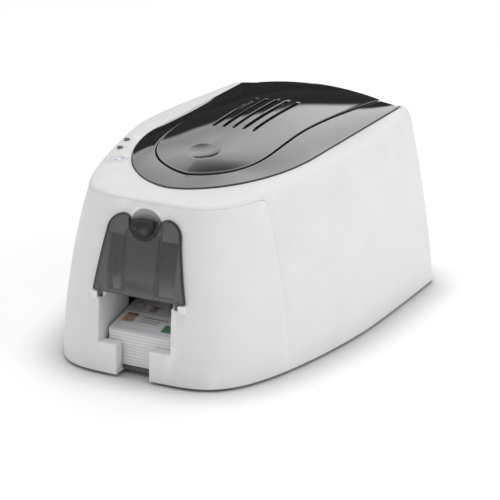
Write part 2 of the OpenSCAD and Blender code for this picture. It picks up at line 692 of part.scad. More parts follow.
module print_head() {
    color("dimgray") union() {
        box(-head_half, head_half, platen_y - 7, platen_y + 7, head_z + 1, head_z + head_h);
        box(-head_half + 2, head_half - 2, platen_y - 3, platen_y + 3, head_z, head_z + 1.2);
    }
}
module head_heatsink() {
    z = head_z + head_h;
    color("silver") union() {
        box(-head_half, head_half, platen_y - 9, platen_y + 9, z, z + 3);
        for (i = [0:fin_count - 1]) let (y = platen_y - 8.5 + i * 17 / fin_count)
            if (abs(y + 0.6 - platen_y) > 3) box(-head_half, head_half, y, y + 1.2, z + 2.9, z + sink_h);
    }
}
module head_bracket() {
    z = head_z + head_h + 3;
    color("lightgray") both_sides() union() {
        box(8, 11, platen_y - 2, platen_y + 2, z, frame_top - frame_t);
        box(3, 16, platen_y - 2, platen_y + 2, z, z + 2);
        box(3, 16, platen_y - 6, platen_y + 6, frame_top - frame_t - 2, frame_top - frame_t);
    }
}

// ---- feeder -------------------------------------------------------------------------------
door_rows = 12;
door_cols = 10;
dish_y = front_y(dish_z) - 9.5;
dish_t = 1.6;
dish_deep = 14;
// y of the bezel's face at a place on it, near the middle of the front
function face_y(x, z) =
    let (w = half_w(z, 0), l = nose_y - front_y(z))
    nose_y - l * pow(1 - pow(abs(x + line_offset) / w, nose_n), 1 / nose_m);

module door_outline() {
    r = door_corner_r;
    x = door_top_half;
    cut = dish_r - 0.6;
    difference() {
        union() {
            polygon([[-door_foot_half, door_z], [door_foot_half, door_z], [x, door_top_z - r],
                     [x - r, door_top_z - r], [x - r, door_top_z], [-x + r, door_top_z],
                     [-x + r, door_top_z - r], [-x, door_top_z - r]]);
            for (s = [-1, 1]) translate([s * (x - r), door_top_z - r]) circle(r = r);
        }
        translate([0, dish_z]) circle(r = cut);
        for (s = [-1, 1])
            polygon([[0, door_top_z + 1], [s * (x - r), door_top_z + 1], [s * (x - r), door_top_z],
                [s * (cut + 2), door_top_z - 0.9], [s * cut, dish_top_z + 1], [0, dish_top_z]]);
    }
}

module feeder_door() {
    half = door_foot_half + 2;
    z0 = door_z - 1;
    z1 = door_top_z + 3;
    function grid(out) = [for (r = [0:door_rows]) [for (c = [-door_cols:door_cols])
        let (x = half * c / door_cols, z = z0 + (z1 - z0) * r / door_rows) [x, face_y(x, z) - out, z]]];
    color([0.25, 0.25, 0.27, 0.75]) union() {
        intersection() {
            grid_solid(grid(door_proud), grid(door_proud - door_t));
            translate([0, -50, 0]) rotate([90, 0, 0]) linear_extrude(body_d) door_outline();
        }
        intersection() {
            difference() {
                translate([0, dish_y, dish_z]) sphere(r = dish_r, $fn = 64);
                translate([0, dish_y, dish_z]) sphere(r = dish_r - dish_t, $fn = 64);
            }
            grid_solid(grid(door_proud), grid(door_proud - dish_deep));
            box(-dish_r, dish_r, -body_d, 0, door_z, dish_top_z);
        }
        both_sides() {
            bar_x(lug_r, lug_x[0], lug_x[1], door_axis_y, door_axis_z);
            box(lug_x[0], lug_x[1], door_axis_y - lug_r, door_axis_y + 0.9, door_axis_z, door_z + 1.5);
            bar_x(hinge_r, lug_x[1] - 0.5, ear_x[1] - 1 - pass, door_axis_y, door_axis_z);
        }
    }
}

hopper_floor_z = path_z - pass;
hopper_floor_t = 2.3;
hopper_in = card_w / 2 + card_room;
hopper_t = 2;
hopper_front_y = front_end + 8;
card_front_y = hopper_front_y + 1;
hopper_rear_y = card_front_y + card_l + 1;
gate_half = 13.5;         // half width of the gate that holds the cards' front edges
gate_t = 1.6;
gate_top_z = door_z + 14;
hopper_top_z = feeder_top - 7;
hopper_wall_y = front_y(hopper_top_z) + wall + 2;
roller_window = 8.6;
// room for a driven roller in a floor of the card path
module roller_slot(y) {
    box(-card_w / 2 - 1, card_w / 2 + 1, y - roller_window, y + roller_window, 0, path_z);
}

module feeder_hopper() {
    z0 = hopper_floor_z - hopper_floor_t;
    color("dimgray") difference() {
        union() {
            box(-hopper_in - hopper_t, hopper_in + hopper_t, hopper_front_y, hopper_rear_y + hopper_t,
                z0, hopper_floor_z);
            box(-plate_in, plate_in, plates_front_y + 4, hopper_rear_y + hopper_t, z0, hopper_floor_z);
            both_sides() box(hopper_in, hopper_in + hopper_t, hopper_wall_y, hopper_rear_y + hopper_t,
                z0, hopper_top_z);
            box(-gate_half, gate_half, hopper_front_y - gate_t, hopper_front_y + 0.2, z0, gate_top_z);
            box(-hopper_in - 1, hopper_in + 1, hopper_rear_y, hopper_rear_y + hopper_t,
                path_z + card_t + 0.5, hopper_top_z);
        }
        roller_slot(feed_roller_y);
    }
}

module card_outline(shrink = 0) {
    w = card_w / 2 - shrink;
    r = card_r;
    union() {
        translate([-w + r, 0]) square([2 * (w - r), card_l]);
        translate([-w, r]) square([2 * w, card_l - 2 * r]);
        for (s = [-1, 1], y = [r, card_l - r]) translate([s * (w - r), y]) circle(r = r);
    }
}

module blank_cards() {
    color("white") translate([0, card_front_y, path_z]) linear_extrude(blank_count * card_t) card_outline();
}

// ---- output tray --------------------------------------------------------------------------
stack_h = printed_count * card_t / cos(tray_tilt);
tray_t = 2;
tray_depth = card_l * cos(tray_tilt) + 2;
tray_rise = tan(tray_tilt);
tray_side_t = 1;
tray_side_h = 12;         // height of the tray's sides above its floor
tray_rib_y = stack_front_y + 41;
tray_front_y = stack_front_y - 1;
tray_under = tray_t / cos(tray_tilt);   // upright thickness of the tray's floor
tray_low_z = tray_z - tray_under - tray_rise;
// where the floor widens and the side walls start, behind the bezel and clear of the pan
tray_step_y = tray_front_y + max(4, (pan_top + 0.2 - tray_low_z) / tray_rise);

// prism along X whose lower face tilts up to the rear
module tilted(x0, x1, y0, y1, z, h) {
    translate([x0, 0, 0]) rotate([90, 0, 90]) linear_extrude(x1 - x0)
        polygon([[y0, z], [y1, z + (y1 - y0) * tray_rise], [y1, z + h + (y1 - y0) * tray_rise], [y0, z + h]]);
}

module output_tray() {
    x0 = out_left + pass;
    x1 = out_right - pass;
    y0 = tray_front_y;
    y1 = y0 + tray_depth + 1;
    z0 = tray_low_z;
    step_z = z0 + (tray_step_y - y0) * tray_rise;
    rear_z = z0 + (y1 - y0) * tray_rise;
    color("gainsboro") difference() {
        union() {
            tilted(notch_left + 0.5, notch_right - 0.5, y0, tray_step_y + 1, z0, tray_under);
            tilted(x0, x1, tray_step_y, y1, step_z, tray_under);
            for (x = [x0, x1 - tray_side_t])
                translate([x, 0, 0]) rotate([90, 0, 90]) linear_extrude(tray_side_t)
                    polygon([[tray_step_y, pan_top], [y1, pan_top], [y1, rear_z + tray_side_h],
                             [tray_step_y, step_z + tray_side_h]]);
            box(x0, x1, y1 - 0.1, y1 + tray_t, pan_top, tray_z + tray_depth * tray_rise + 8);
            for (x = [-24, 16]) box(x, x + tray_t, tray_rib_y, y1, pan_top, z0 + 12);
        }
        tilted(x0 + tray_side_t, x1 - tray_side_t, y0, y1 - 0.1, tray_z - tray_rise, 90);
    }
}

module printed_cards() {
    length = card_l * cos(tray_tilt);
    color("white") translate([-tray_shift, 0, 0]) intersection() {
        tilted(-card_w, card_w, stack_front_y, stack_front_y + length, tray_z, stack_h);
        translate([0, stack_front_y, 0]) linear_extrude(100) intersection() {
            card_outline();
            translate([-card_w, 0]) square([2 * card_w, length]);
        }
    }
}

// ---- control button and lamps -------------------------------------------------------------
function strip_height(p) = rim_height(p[1]) - 0.9;
module control_button() {
    z = strip_height(button_at);
    color([0.85, 0.85, 0.95]) union() {
        post(button_r, button_at[0], button_at[1], z - 5, z - 0.5);
        post(button_r - 0.8, button_at[0], button_at[1], z - 0.6, z + 0.3);
        post(2, button_at[0], button_at[1], z - 9, z - 4.9);
    }
}
module status_lights() {
    color("dimgray") for (p = light_at) let (z = strip_height(p)) post(light_r, p[0], p[1], z - 6, z + 0.2);
}

// ---- side plates --------------------------------------------------------------------------
plates_front_y = front_end + 50;
supply_y = platen_y + 47;
takeup_y = platen_y - 47;
spool_z = 103;
plate_top_z = 118;
spool_pin_r = 4;
roller_z = path_z - pass - roller_r;
cleaner_y = platen_y - 73;
cleaner_z = path_z + card_t + pass + cleaner_r;
pinch_z = path_z + card_t + pass + pinch_r;

// toothed wheels: driven wheels sit on the rollers, idlers between them
teeth_platen = 36;
teeth_drive = 22;
teeth_idler = 18;
teeth_feed = 22;
teeth_feed_idler = 38;
teeth_pinion = 12;
function pitch_r(teeth) = gear_m * teeth / 2;
front_idler_y = platen_y - pitch_r(teeth_platen) - pitch_r(teeth_idler);
front_drive_y = front_idler_y - pitch_r(teeth_idler) - pitch_r(teeth_drive);
rear_idler_y = platen_y + pitch_r(teeth_platen) + pitch_r(teeth_idler);
rear_drive_y = rear_idler_y + pitch_r(teeth_idler) + pitch_r(teeth_drive);
feed_idler_y = front_drive_y - pitch_r(teeth_drive) - pitch_r(teeth_feed_idler);
feed_roller_y = feed_idler_y - pitch_r(teeth_feed_idler) - pitch_r(teeth_feed);
pinion_z = roller_z - pitch_r(teeth_platen) - pitch_r(teeth_pinion);
gear_x = plate_out + 1.5;
stud_r = 2.5;
idlers = [[feed_idler_y, teeth_feed_idler], [front_idler_y, teeth_idler], [rear_idler_y, teeth_idler]];
driven_y = [feed_roller_y, front_drive_y, platen_y, rear_drive_y];

module plate_profile() {
    difference() {
        union() {
            polygon([[plates_front_y, pan_top], [plates_front_y, plate_top_z - 4],
                     [plates_front_y + 16, plate_top_z], [hinge_y - 12, plate_top_z],
                     [hinge_y - ear_r, hinge_z], [hinge_y + ear_r, hinge_z],
                     [hinge_y + ear_r - 0.5, pan_top]]);
            translate([hinge_y, hinge_z]) circle(r = ear_r);
        }
        translate([hinge_y, hinge_z]) circle(r = hinge_pin_r + run);
        for (y = driven_y) translate([y, roller_z]) circle(r = shaft_r + run);
        for (y = [front_drive_y, rear_drive_y]) translate([y, pinch_z]) circle(r = pin_r + run);
        translate([cleaner_y, cleaner_z]) circle(r = pin_r + run);
        for (y = [supply_y, takeup_y]) {
            translate([y, spool_z]) circle(r = spool_pin_r + run);
            translate([y - spool_pin_r - run, spool_z]) square([2 * (spool_pin_r + run), 40]);
        }
        for (y = [plates_front_y + 16, hinge_y - 30]) translate([y, 16]) square([10, 24]);
    }
}
module side_plate(extra_holes = false) {
    translate([plate_in, 0, 0]) rotate([90, 0, 90]) linear_extrude(plate_t) difference() {
        plate_profile();
        if (extra_holes) translate([platen_y, pinion_z]) circle(r = 5);
        if (!extra_holes) translate(ribbon_pinion_at) circle(r = 4);
    }
}
plate_feet = [plates_front_y + 10, platen_y - 15, hinge_y - 20];
module plate_foot(y) {
    difference() {
        box(plate_out - 0.1, plate_out + 10, y - 6, y + 6, pan_top, pan_top + plate_t);
        post(1.6, plate_out + 5.5, y, 0, 20);
    }
}
module right_plate() {
    color("lightsteelblue") union() {
        side_plate(true);
        for (y = plate_feet) plate_foot(y);
    }
}
module left_plate() {
    color("lightsteelblue") mirror([1, 0, 0]) union() {
        side_plate(false);
        for (y = plate_feet) plate_foot(y);
    }
}

bar_r = 3;
bars = [[keeper_y + 1, 104], [plates_front_y + 6, 110.5], [platen_y - 27, 84],
        [hinge_y - 8, spool_z - supply_r - bar_r - 3]];
module cross_bars() {
    color("silver") {
        for (p = bars) bar_x(bar_r, -plate_in, plate_in, p[0], p[1]);
        both_sides() {
            box(hook_x - 1, hook_x + 9, keeper_y - 1.5, keeper_y + 1.5, bars[0][1] + 2.5, keeper_z);
            box(hook_x - 1, hook_x + 9, keeper_y - 1.5, keeper_y + 2.8, keeper_z - 0.1, keeper_z + 1.6);
        }
    }
}

module card_guide() {
    z = path_z - pass;
    color("dimgray") difference() {
        box(-plate_in, plate_in, hopper_rear_y + hopper_t, hinge_y - 12, z - 2, z);
        for (y = [front_drive_y, platen_y, rear_drive_y])
            roller_slot(y);
    }
}

// ---- rollers and gears --------------------------------------------------------------------
module driven_roller(y, rubber = "dimgray") {
    color("silver") bar_x(shaft_r, -plate_out - 1.5, gear_x + gear_w + 1, y, roller_z);
    color(rubber) bar_x(roller_r, -card_w / 2, card_w / 2, y, roller_z);
}
module feed_roller() {
    driven_roller(feed_roller_y);
}
module front_drive_roller() {
    driven_roller(front_drive_y);
}
module platen_roller() {
    driven_roller(platen_y);
}
module rear_drive_roller() {
    driven_roller(rear_drive_y);
}
pin_end = 0.5;            // how far the free rollers' shafts stand out of the plates
module free_roller(r, y, z) {
    union() {
        bar_x(pin_r, -plate_out - pin_end, plate_out + pin_end, y, z);
        bar_x(r, -card_w / 2, card_w / 2, y, z);
    }
}
module front_pinch_roller() {
    color("dimgray") free_roller(pinch_r, front_drive_y, pinch_z);
}
module rear_pinch_roller() {
    color("dimgray") free_roller(pinch_r, rear_drive_y, pinch_z);
}
module cleaning_roller() {
    color("lightskyblue") free_roller(cleaner_r, cleaner_y, cleaner_z);
}

// outline of a toothed wheel with one tooth on +X of its own plane
module wheel_outline(teeth) {
    pitch = 360 / teeth;
    root = pitch_r(teeth) - 1.15 * gear_m;
    tip = pitch_r(teeth) + 0.85 * gear_m;
    function at(r, a) = [r * cos(a), r * sin(a)];
    polygon([for (i = [0:teeth - 1]) each [at(root, (i - 0.3) * pitch), at(tip, (i - 0.12) * pitch),
        at(tip, (i + 0.12) * pitch), at(root, (i + 0.3) * pitch)]]);
}
// a gear on the outer side of a plate; turn is the angle of its first tooth from +Y
module gear(teeth, y, z, turn, bore) {
    translate([gear_x, y, z]) rotate([90, 0, 90]) difference() {
        union() {
            linear_extrude(gear_w) rotate(turn) wheel_outline(teeth);
            translate([0, 0, plate_out + 0.3 - gear_x]) cylinder(r = bore + 2, h = gear_w + 1.2);
        }
        translate([0, 0, -5]) cylinder(r = bore, h = gear_w + 12);
    }
}
function half_pitch(teeth) = 180 / teeth;
module feed_gear() {
    color("ivory") gear(teeth_feed, feed_roller_y, roller_z, 0, shaft_r);
}
module front_drive_gear() {
    color("ivory") gear(teeth_drive, front_drive_y, roller_z, 0, shaft_r);
}
module platen_gear() {
    color("ivory") gear(teeth_platen, platen_y, roller_z, 0, shaft_r);
}
module rear_drive_gear() {
    color("ivory") gear(teeth_drive, rear_drive_y, roller_z, 0, shaft_r);
}
module feed_idler_gear() {
    color("ivory") gear(teeth_feed_idler, feed_idler_y, roller_z, half_pitch(teeth_feed_idler), stud_r + run);
}
module front_idler_gear() {
    color("ivory") gear(teeth_idler, front_idler_y, roller_z, half_pitch(teeth_idler), stud_r + run);
}
module rear_idler_gear() {
    color("ivory") gear(teeth_idler, rear_idler_y, roller_z, half_pitch(teeth_idler), stud_r + run);
}
module idler_studs() {
    color("silver") for (p = idlers) union() {
        bar_x(stud_r, plate_out, gear_x + gear_w + 0.8, p[0], roller_z);
        bar_x(stud_r + 1.4, gear_x + gear_w + 0.3, gear_x + gear_w + 1.5, p[0], roller_z);
    }
}

// ---- motors -------------------------------------------------------------------------------
motor_side = 35;
motor_len = plates_w / 4;
motor_shaft_r = 2.5;
module motor() {
    h = motor_side / 2;
    x = plate_in - motor_len;
    color("dimgray") difference() {
        translate([x, platen_y, pinion_z]) rotate([90, 0, 90]) linear_extrude(motor_len)
            polygon([[-h, -h + 4], [-h + 4, -h], [h - 4, -h], [h, -h + 4], [h, h - 4], [h - 4, h],
                     [-h + 4, h], [-h, h - 4]]);
        bar_x(motor_shaft_r + run, plate_in - 12, plate_in + 1, platen_y, pinion_z);
    }
}
module motor_pinion() {
    color("goldenrod") union() {
        gear(teeth_pinion, platen_y, pinion_z, 90 + half_pitch(teeth_pinion), motor_shaft_r - 0.5);
        bar_x(motor_shaft_r, plate_in - 11.5, gear_x + gear_w + 1.3, platen_y, pinion_z);
    }
}

// ribbon drive, on the outer side of the left plate
teeth_takeup = 30;
ribbon_turn = 230;        // direction from the take-up axis to the motor's axis
ribbon_reach = pitch_r(teeth_takeup) + pitch_r(teeth_pinion);
ribbon_pinion_at = [takeup_y + ribbon_reach * cos(ribbon_turn), spool_z + ribbon_reach * sin(ribbon_turn)];
module takeup_gear() {
    color("ivory") mirror([1, 0, 0]) gear(teeth_takeup, takeup_y, spool_z, ribbon_turn, spool_pin_r);
}
module ribbon_pinion() {
    color("goldenrod") mirror([1, 0, 0]) union() {
        gear(teeth_pinion, ribbon_pinion_at[0], ribbon_pinion_at[1],
            ribbon_turn + 180 + half_pitch(teeth_pinion), 1.5);
        bar_x(2, plate_in - 8, gear_x + gear_w + 1.3, ribbon_pinion_at[0], ribbon_pinion_at[1]);
    }
}
ribbon_motor_r = 10;
ribbon_motor_len = motor_len - 8;
module ribbon_motor() {
    color("silver") mirror([1, 0, 0]) difference() {
        bar_x(ribbon_motor_r, plate_in - ribbon_motor_len, plate_in, ribbon_pinion_at[0],
            ribbon_pinion_at[1]);
        bar_x(2 + run, plate_in - 9, plate_in + 1, ribbon_pinion_at[0], ribbon_pinion_at[1]);
    }
}

// ---- ribbon -------------------------------------------------------------------------------
module ribbon_core(y, x_end) {
    union() {
        bar_x(core_r, -48, 48, y, spool_z);
        bar_x(core_r + 4, 34, 37, y, spool_z);
        bar_x(core_r + 4, -37, -34, y, spool_z);
        bar_x(spool_pin_r, -x_end, plate_out + 1, y, spool_z);
    }
}
module ribbon_roll(r, y) {
    difference() {
        bar_x(r, -ribbon_w / 2, ribbon_w / 2, y, spool_z);
        bar_x(core_r, -ribbon_w, ribbon_w, y, spool_z);
    }
}
module supply_core() {
    color("white") ribbon_core(supply_y, plate_out + 1);
}
module takeup_core() {
    color("white") ribbon_core(takeup_y, gear_x + gear_w + 1);
}
module supply_roll() {
    color("black") ribbon_roll(supply_r, supply_y);
}
module takeup_roll() {
    color("black") ribbon_roll(used_r, takeup_y);
}
film_t = 0.25;
film_z = head_z - pass - film_t;
film_front_y = platen_y - 12;
film_rear_y = platen_y + 12;
module ribbon_film() {
    rear = [supply_y - supply_r - 0.3, spool_z];
    front = [takeup_y + used_r + 0.3, spool_z];
    color("purple") translate([-ribbon_w / 2, 0, 0]) rotate([90, 0, 90]) linear_extrude(ribbon_w)
        polygon([front, [film_front_y, film_z], [film_rear_y, film_z], rear, rear - [film_t * 1.6, 0],
                 [film_rear_y, film_z + film_t], [film_front_y, film_z + film_t], front + [film_t * 1.6, 0]]);
}

// ---- electronics --------------------------------------------------------------------------
port_z = 20;
usb_x = -30;
usb_w = 12;
usb_h = 11;
inlet_x = 8;
inlet_w = 14;
inlet_h = 11;
rear_top_z = 135.4;

module circuit_board() {
    color("darkgreen") difference() {
        box(board_x[0], board_x[1], board_y[0], board_y[1], board_z, board_z + board_t);
        for (x = board_x + [board_pad, -board_pad], y = board_y + [board_pad, -board_pad])
            post(1.5, x, y, 0, board_z + 9);
    }
}
module board_parts() {
    x = board_x[0];
    y = board_y[0];
    z = board_z + board_t;
    color("black") {
        box(x + 24, x + 40, y + 22, y + 38, z, z + 2);
        box(x + 48, x + 60, y + 10, y + 22, z, z + 2);
        box(x + 8, x + 16, y + 14, y + 54, z, z + 6);
        for (i = [0:2]) post(5, x + 58, y + 30 + i * 12, z, z + 12);
    }
}
module usb_port() {
    x = usb_x - line_offset;
    z = board_z + board_t;
    color("silver") difference() {
        union() {
            box(x - usb_w / 2, x + usb_w / 2, rear_end - 16, rear_end - 0.4, port_z, port_z + usb_h);
            box(x - usb_w / 2, x + usb_w / 2, board_y[1] - 6, rear_end - 12, z, port_z + usb_h);
        }
        box(x - usb_w / 2 + 1.5, x + usb_w / 2 - 1.5, rear_end - 10, rear_end + 1, port_z + 1.5,
            port_z + usb_h - 1.5);
    }
}
module power_inlet() {
    x = inlet_x - line_offset;
    z = board_z + board_t;
    zc = port_z + inlet_h / 2;
    color("black") difference() {
        union() {
            translate([x, rear_end - 0.4, zc]) rotate([90, 0, 0]) cylinder(r = 4.3, h = 6);
            box(x - inlet_w / 2, x + inlet_w / 2, board_y[1] - 8, rear_end - 6, z, port_z + inlet_h);
        }
        translate([x, rear_end + 1, zc]) rotate([90, 0, 0]) cylinder(r = 2.75, h = 12);
    }
}
module card_sensor() {
    color("black") difference() {
        box(26, 36, cleaner_y + 14, cleaner_y + 20, path_z - pass, path_z + 12);
        box(25, card_w / 2 + 4, cleaner_y + 13, cleaner_y + 21, path_z - 1, path_z + 4);
    }
}
module frame_screws() {
    color("silver") both_sides() for (y = plate_feet) union() {
        post(1.55, plate_out + 5.5, y, pan_top, pan_top + plate_t + 0.2);
        post(3, plate_out + 5.5, y, pan_top + plate_t, pan_top + plate_t + 2);
    }
}

base_pan();
front_bezel();
housing();
rear_panel();
lid_cover();
lid_panel();
lid_frame();
head_bracket();
head_heatsink();
print_head();
feeder_door();
feeder_hopper();
blank_cards();
output_tray();
printed_cards();
control_button();
status_lights();
left_plate();
right_plate();
cross_bars();
card_guide();
feed_roller();
feed_gear();
front_drive_roller();
front_drive_gear();
platen_roller();
platen_gear();
rear_drive_roller();
rear_drive_gear();
feed_idler_gear();
front_idler_gear();
rear_idler_gear();
idler_studs();
front_pinch_roller();
rear_pinch_roller();
cleaning_roller();
motor();
motor_pinion();
supply_core();
supply_roll();
takeup_core();
takeup_roll();
takeup_gear();
ribbon_motor();
ribbon_pinion();
ribbon_film();
circuit_board();
board_parts();
card_sensor();
usb_port();
power_inlet();
rubber_feet();
frame_screws();
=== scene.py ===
"""Looks of a desk-top ID card printer, built round its fixed CAD frame.

Lengths are in metres on the frame's own axes: +Z is up, -Y is the front where cards go
in and come out, and +X is the right-hand side as seen from the front. Fields of the lid,
the feeder, the card stacks and the tray are in millimetres, and mm() turns them to metres.
"""

import logging
import math
import random
from dataclasses import dataclass, field
from enum import Enum
from typing import Callable, Iterable, Sequence

import bpy
from mathutils import Matrix, Vector


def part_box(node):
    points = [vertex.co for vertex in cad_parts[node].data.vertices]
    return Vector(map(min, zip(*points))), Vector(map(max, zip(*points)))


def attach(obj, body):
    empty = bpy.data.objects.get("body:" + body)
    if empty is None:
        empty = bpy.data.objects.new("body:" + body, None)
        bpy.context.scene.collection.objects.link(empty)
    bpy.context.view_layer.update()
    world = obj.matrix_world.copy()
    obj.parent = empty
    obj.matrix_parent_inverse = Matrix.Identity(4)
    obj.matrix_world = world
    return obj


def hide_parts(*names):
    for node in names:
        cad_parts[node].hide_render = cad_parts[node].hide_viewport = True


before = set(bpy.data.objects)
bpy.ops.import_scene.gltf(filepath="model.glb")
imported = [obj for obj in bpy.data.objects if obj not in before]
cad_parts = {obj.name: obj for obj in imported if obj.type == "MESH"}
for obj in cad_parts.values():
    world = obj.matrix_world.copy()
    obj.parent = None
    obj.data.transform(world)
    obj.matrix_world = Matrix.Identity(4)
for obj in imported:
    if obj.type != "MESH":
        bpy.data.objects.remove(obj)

LOG = logging.getLogger("card_printer")
MM = 0.001

Point = tuple[float, float, float]
Spot = tuple[float, float]
Colour = tuple[float, float, float]
Node = bpy.types.Node
Socket = bpy.types.NodeSocket
Material = bpy.types.Material
Piece = bpy.types.Object


def mm(*values: float) -> Point:
    """A point or a size given in millimetres, in metres."""
    return tuple(v * MM for v in values)


# ---- finishes ------------------------------------------------------------------------------


class Kind(Enum):
    """The ways a finish can be made up."""

    MOULDED = "moulded plastic with a fine spark-eroded grain"
    GLOSS = "polished plastic with faint smudges"
    CLEAR = "see-through tinted plastic"
    RUBBER = "ground or moulded rubber"
    METAL = "bare metal with fine lines along one axis"
    PAINT = "painted metal"
    BOARD = "circuit board with tracks"


@dataclass(frozen=True)
class Finish:
    """One finish of the printer, as numbers for its material.

    The roughness changes by up to spread, the colour by drift. The grain's fineness and
    its depth in metres make the relief.
    """

    name: str
    colour: Colour
    kind: Kind
    roughness: float
    spread: float
    drift: float
    grain: float
    depth: float
    metallic: float = 0.0
    specular: float = 0.5
    coat: float = 0.0
    alpha: float = 1.0

    @property
    def swell(self) -> float:
        """How strong the slow swell under the grain is: more on polished faces."""
        return 3.0 if self.kind in (Kind.GLOSS, Kind.CLEAR) else 0.6


def moulded(name: str, colour: Colour, roughness: float, *grain: float, **more: float) -> Finish:
    """A moulded plastic, with its spread, drift, grain and depth in grain."""
    return Finish(name, colour, Kind.MOULDED, roughness, *grain, **more)


def gloss(name: str, colour: Colour, roughness: float, *grain: float, **more: float) -> Finish:
    """A polished plastic, with its spread, drift, grain and depth in grain."""
    return Finish(name, colour, Kind.GLOSS, roughness, *grain, **more)


def clear(name: str, colour: Colour, roughness: float, alpha: float) -> Finish:
    """A smoked plastic of the feeder door, all of one grain."""
    grain = (0.03, 0.05, 300, 0.000004)
    return Finish(name, colour, Kind.CLEAR, roughness, *grain, specular=0.6, alpha=alpha)


def rubber(name: str, colour: Colour, roughness: float, *grain: float) -> Finish:
    """A rubber, with its spread, drift, grain and depth in grain."""
    return Finish(name, colour, Kind.RUBBER, roughness, *grain)


def metal(name: str, colour: Colour, roughness: float, *grain: float) -> Finish:
    """A bare metal, with its spread, drift, grain and depth in grain."""
    return Finish(name, colour, Kind.METAL, roughness, *grain, metallic=1.0)


WHITE = (0.80, 0.80, 0.805)
WHITE_SHELL = moulded("white_shell", WHITE, 0.46, 0.05, 0.02, 2600, 0.000012, specular=0.15)
INNER_WHITE = (0.74, 0.74, 0.75)
WHITE_INNER = moulded("white_inner", INNER_WHITE, 0.5, 0.05, 0.03, 2200, 0.00002, specular=0.3)
DARK_TRAY = (0.07, 0.07, 0.073)
TRAY_GREY = moulded("tray_grey", DARK_TRAY, 0.5, 0.06, 0.04, 2000, 0.00002, specular=0.3)
LID_BLACK = gloss("lid_black", (0.012, 0.012, 0.013), 0.06, 0.02, 0.1, 90, 0.000002, coat=1.0)
DOOR_SMOKE = clear("door_smoke", (0.115, 0.115, 0.12), 0.2, alpha=0.5)
# The finger dish's darker, near-opaque copy of the smoked plastic is painted shade, as the dish
# sits in the shaded recess.
DOOR_DISH_SHADE = clear("door_dish_painted_shade", (0.014, 0.014, 0.015), 0.3, alpha=0.9)
DOOR_EDGE = clear("door_edge", (0.02, 0.02, 0.022), 0.2, alpha=0.9)
DOOR_RIB = clear("door_rib", (0.012, 0.012, 0.013), 0.3, alpha=0.85)
HOPPER_GREY = moulded("hopper_grey", (0.22, 0.22, 0.23), 0.5, 0.06, 0.05, 1500, 0.00003)
FRAME_GREY = moulded("frame_grey", (0.045, 0.045, 0.05), 0.5, 0.08, 0.12, 1500, 0.00004)
PLATE_STEEL = metal("plate_steel", (0.56, 0.58, 0.6), 0.34, 0.1, 0.1, 700, 0.00001)
BAR_STEEL = metal("bar_steel", (0.6, 0.6, 0.61), 0.24, 0.08, 0.05, 900, 0.000006)
GEAR_IVORY = moulded("gear_ivory", (0.72, 0.69, 0.58), 0.42, 0.06, 0.06, 1400, 0.00002)
BRASS = metal("pinion_brass", (0.72, 0.53, 0.24), 0.28, 0.08, 0.08, 900, 0.00001)
MOTOR_PAINT = (0.03, 0.03, 0.033)
MOTOR_BLACK = Finish("motor_black", MOTOR_PAINT, Kind.PAINT, 0.38, 0.08, 0.15, 900, 0.00003)
SINK_ALUMINIUM = metal("sink_aluminium", (0.7, 0.71, 0.73), 0.36, 0.08, 0.05, 800, 0.00001)
HEAD_GLAZE = gloss("head_glaze", (0.07, 0.045, 0.03), 0.12, 0.04, 0.1, 200, 0.000004)
PAPER_WHITE = (0.83, 0.83, 0.84)
CARD_WHITE = gloss("card_white", PAPER_WHITE, 0.3, 0.06, 0.02, 260, 0.000004, specular=0.35)
LAMP_GREY = gloss("lamp_grey", (0.09, 0.09, 0.1), 0.2, 0.04, 0.08, 400, 0.000004)
CORE_WHITE = moulded("core_white", (0.72, 0.72, 0.7), 0.48, 0.06, 0.04, 1500, 0.00003)
RIBBON_DARK = gloss("ribbon_dark", (0.03, 0.016, 0.05), 0.16, 0.05, 0.2, 500, 0.00001)
RIBBON_USED = gloss("ribbon_used", (0.11, 0.05, 0.04), 0.22, 0.05, 0.25, 500, 0.00001)
RIBBON_FILM = gloss("ribbon_panels", (0.62, 0.5, 0.03), 0.16, 0.05, 0.15, 400, 0.00001)
BOARD_LACQUER = (0.012, 0.1, 0.04)
BOARD_GREEN = Finish("board_green", BOARD_LACQUER, Kind.BOARD, 0.32, 0.06, 0.1, 700, 0.00001)
CHIP_BLACK = moulded("chip_black", (0.02, 0.02, 0.022), 0.5, 0.08, 0.12, 2400, 0.00003)
PORT_STEEL = metal("port_steel", (0.66, 0.66, 0.68), 0.25, 0.07, 0.06, 900, 0.000008)
INLET_BLACK = moulded("inlet_black", (0.022, 0.022, 0.024), 0.46, 0.07, 0.1, 1800, 0.00003)
FOOT_RUBBER = rubber("foot_rubber", (0.03, 0.03, 0.03), 0.72, 0.08, 0.15, 1400, 0.00005)
ROLLER_RUBBER = rubber("roller_rubber", (0.03, 0.03, 0.034), 0.62, 0.08, 0.12, 1800, 0.00004)
CLEANER_BLUE = rubber("cleaner_blue", (0.06, 0.16, 0.42), 0.32, 0.06, 0.08, 900, 0.00001)
SCREW_STEEL = metal("screw_steel", (0.56, 0.56, 0.58), 0.3, 0.08, 0.06, 900, 0.00001)


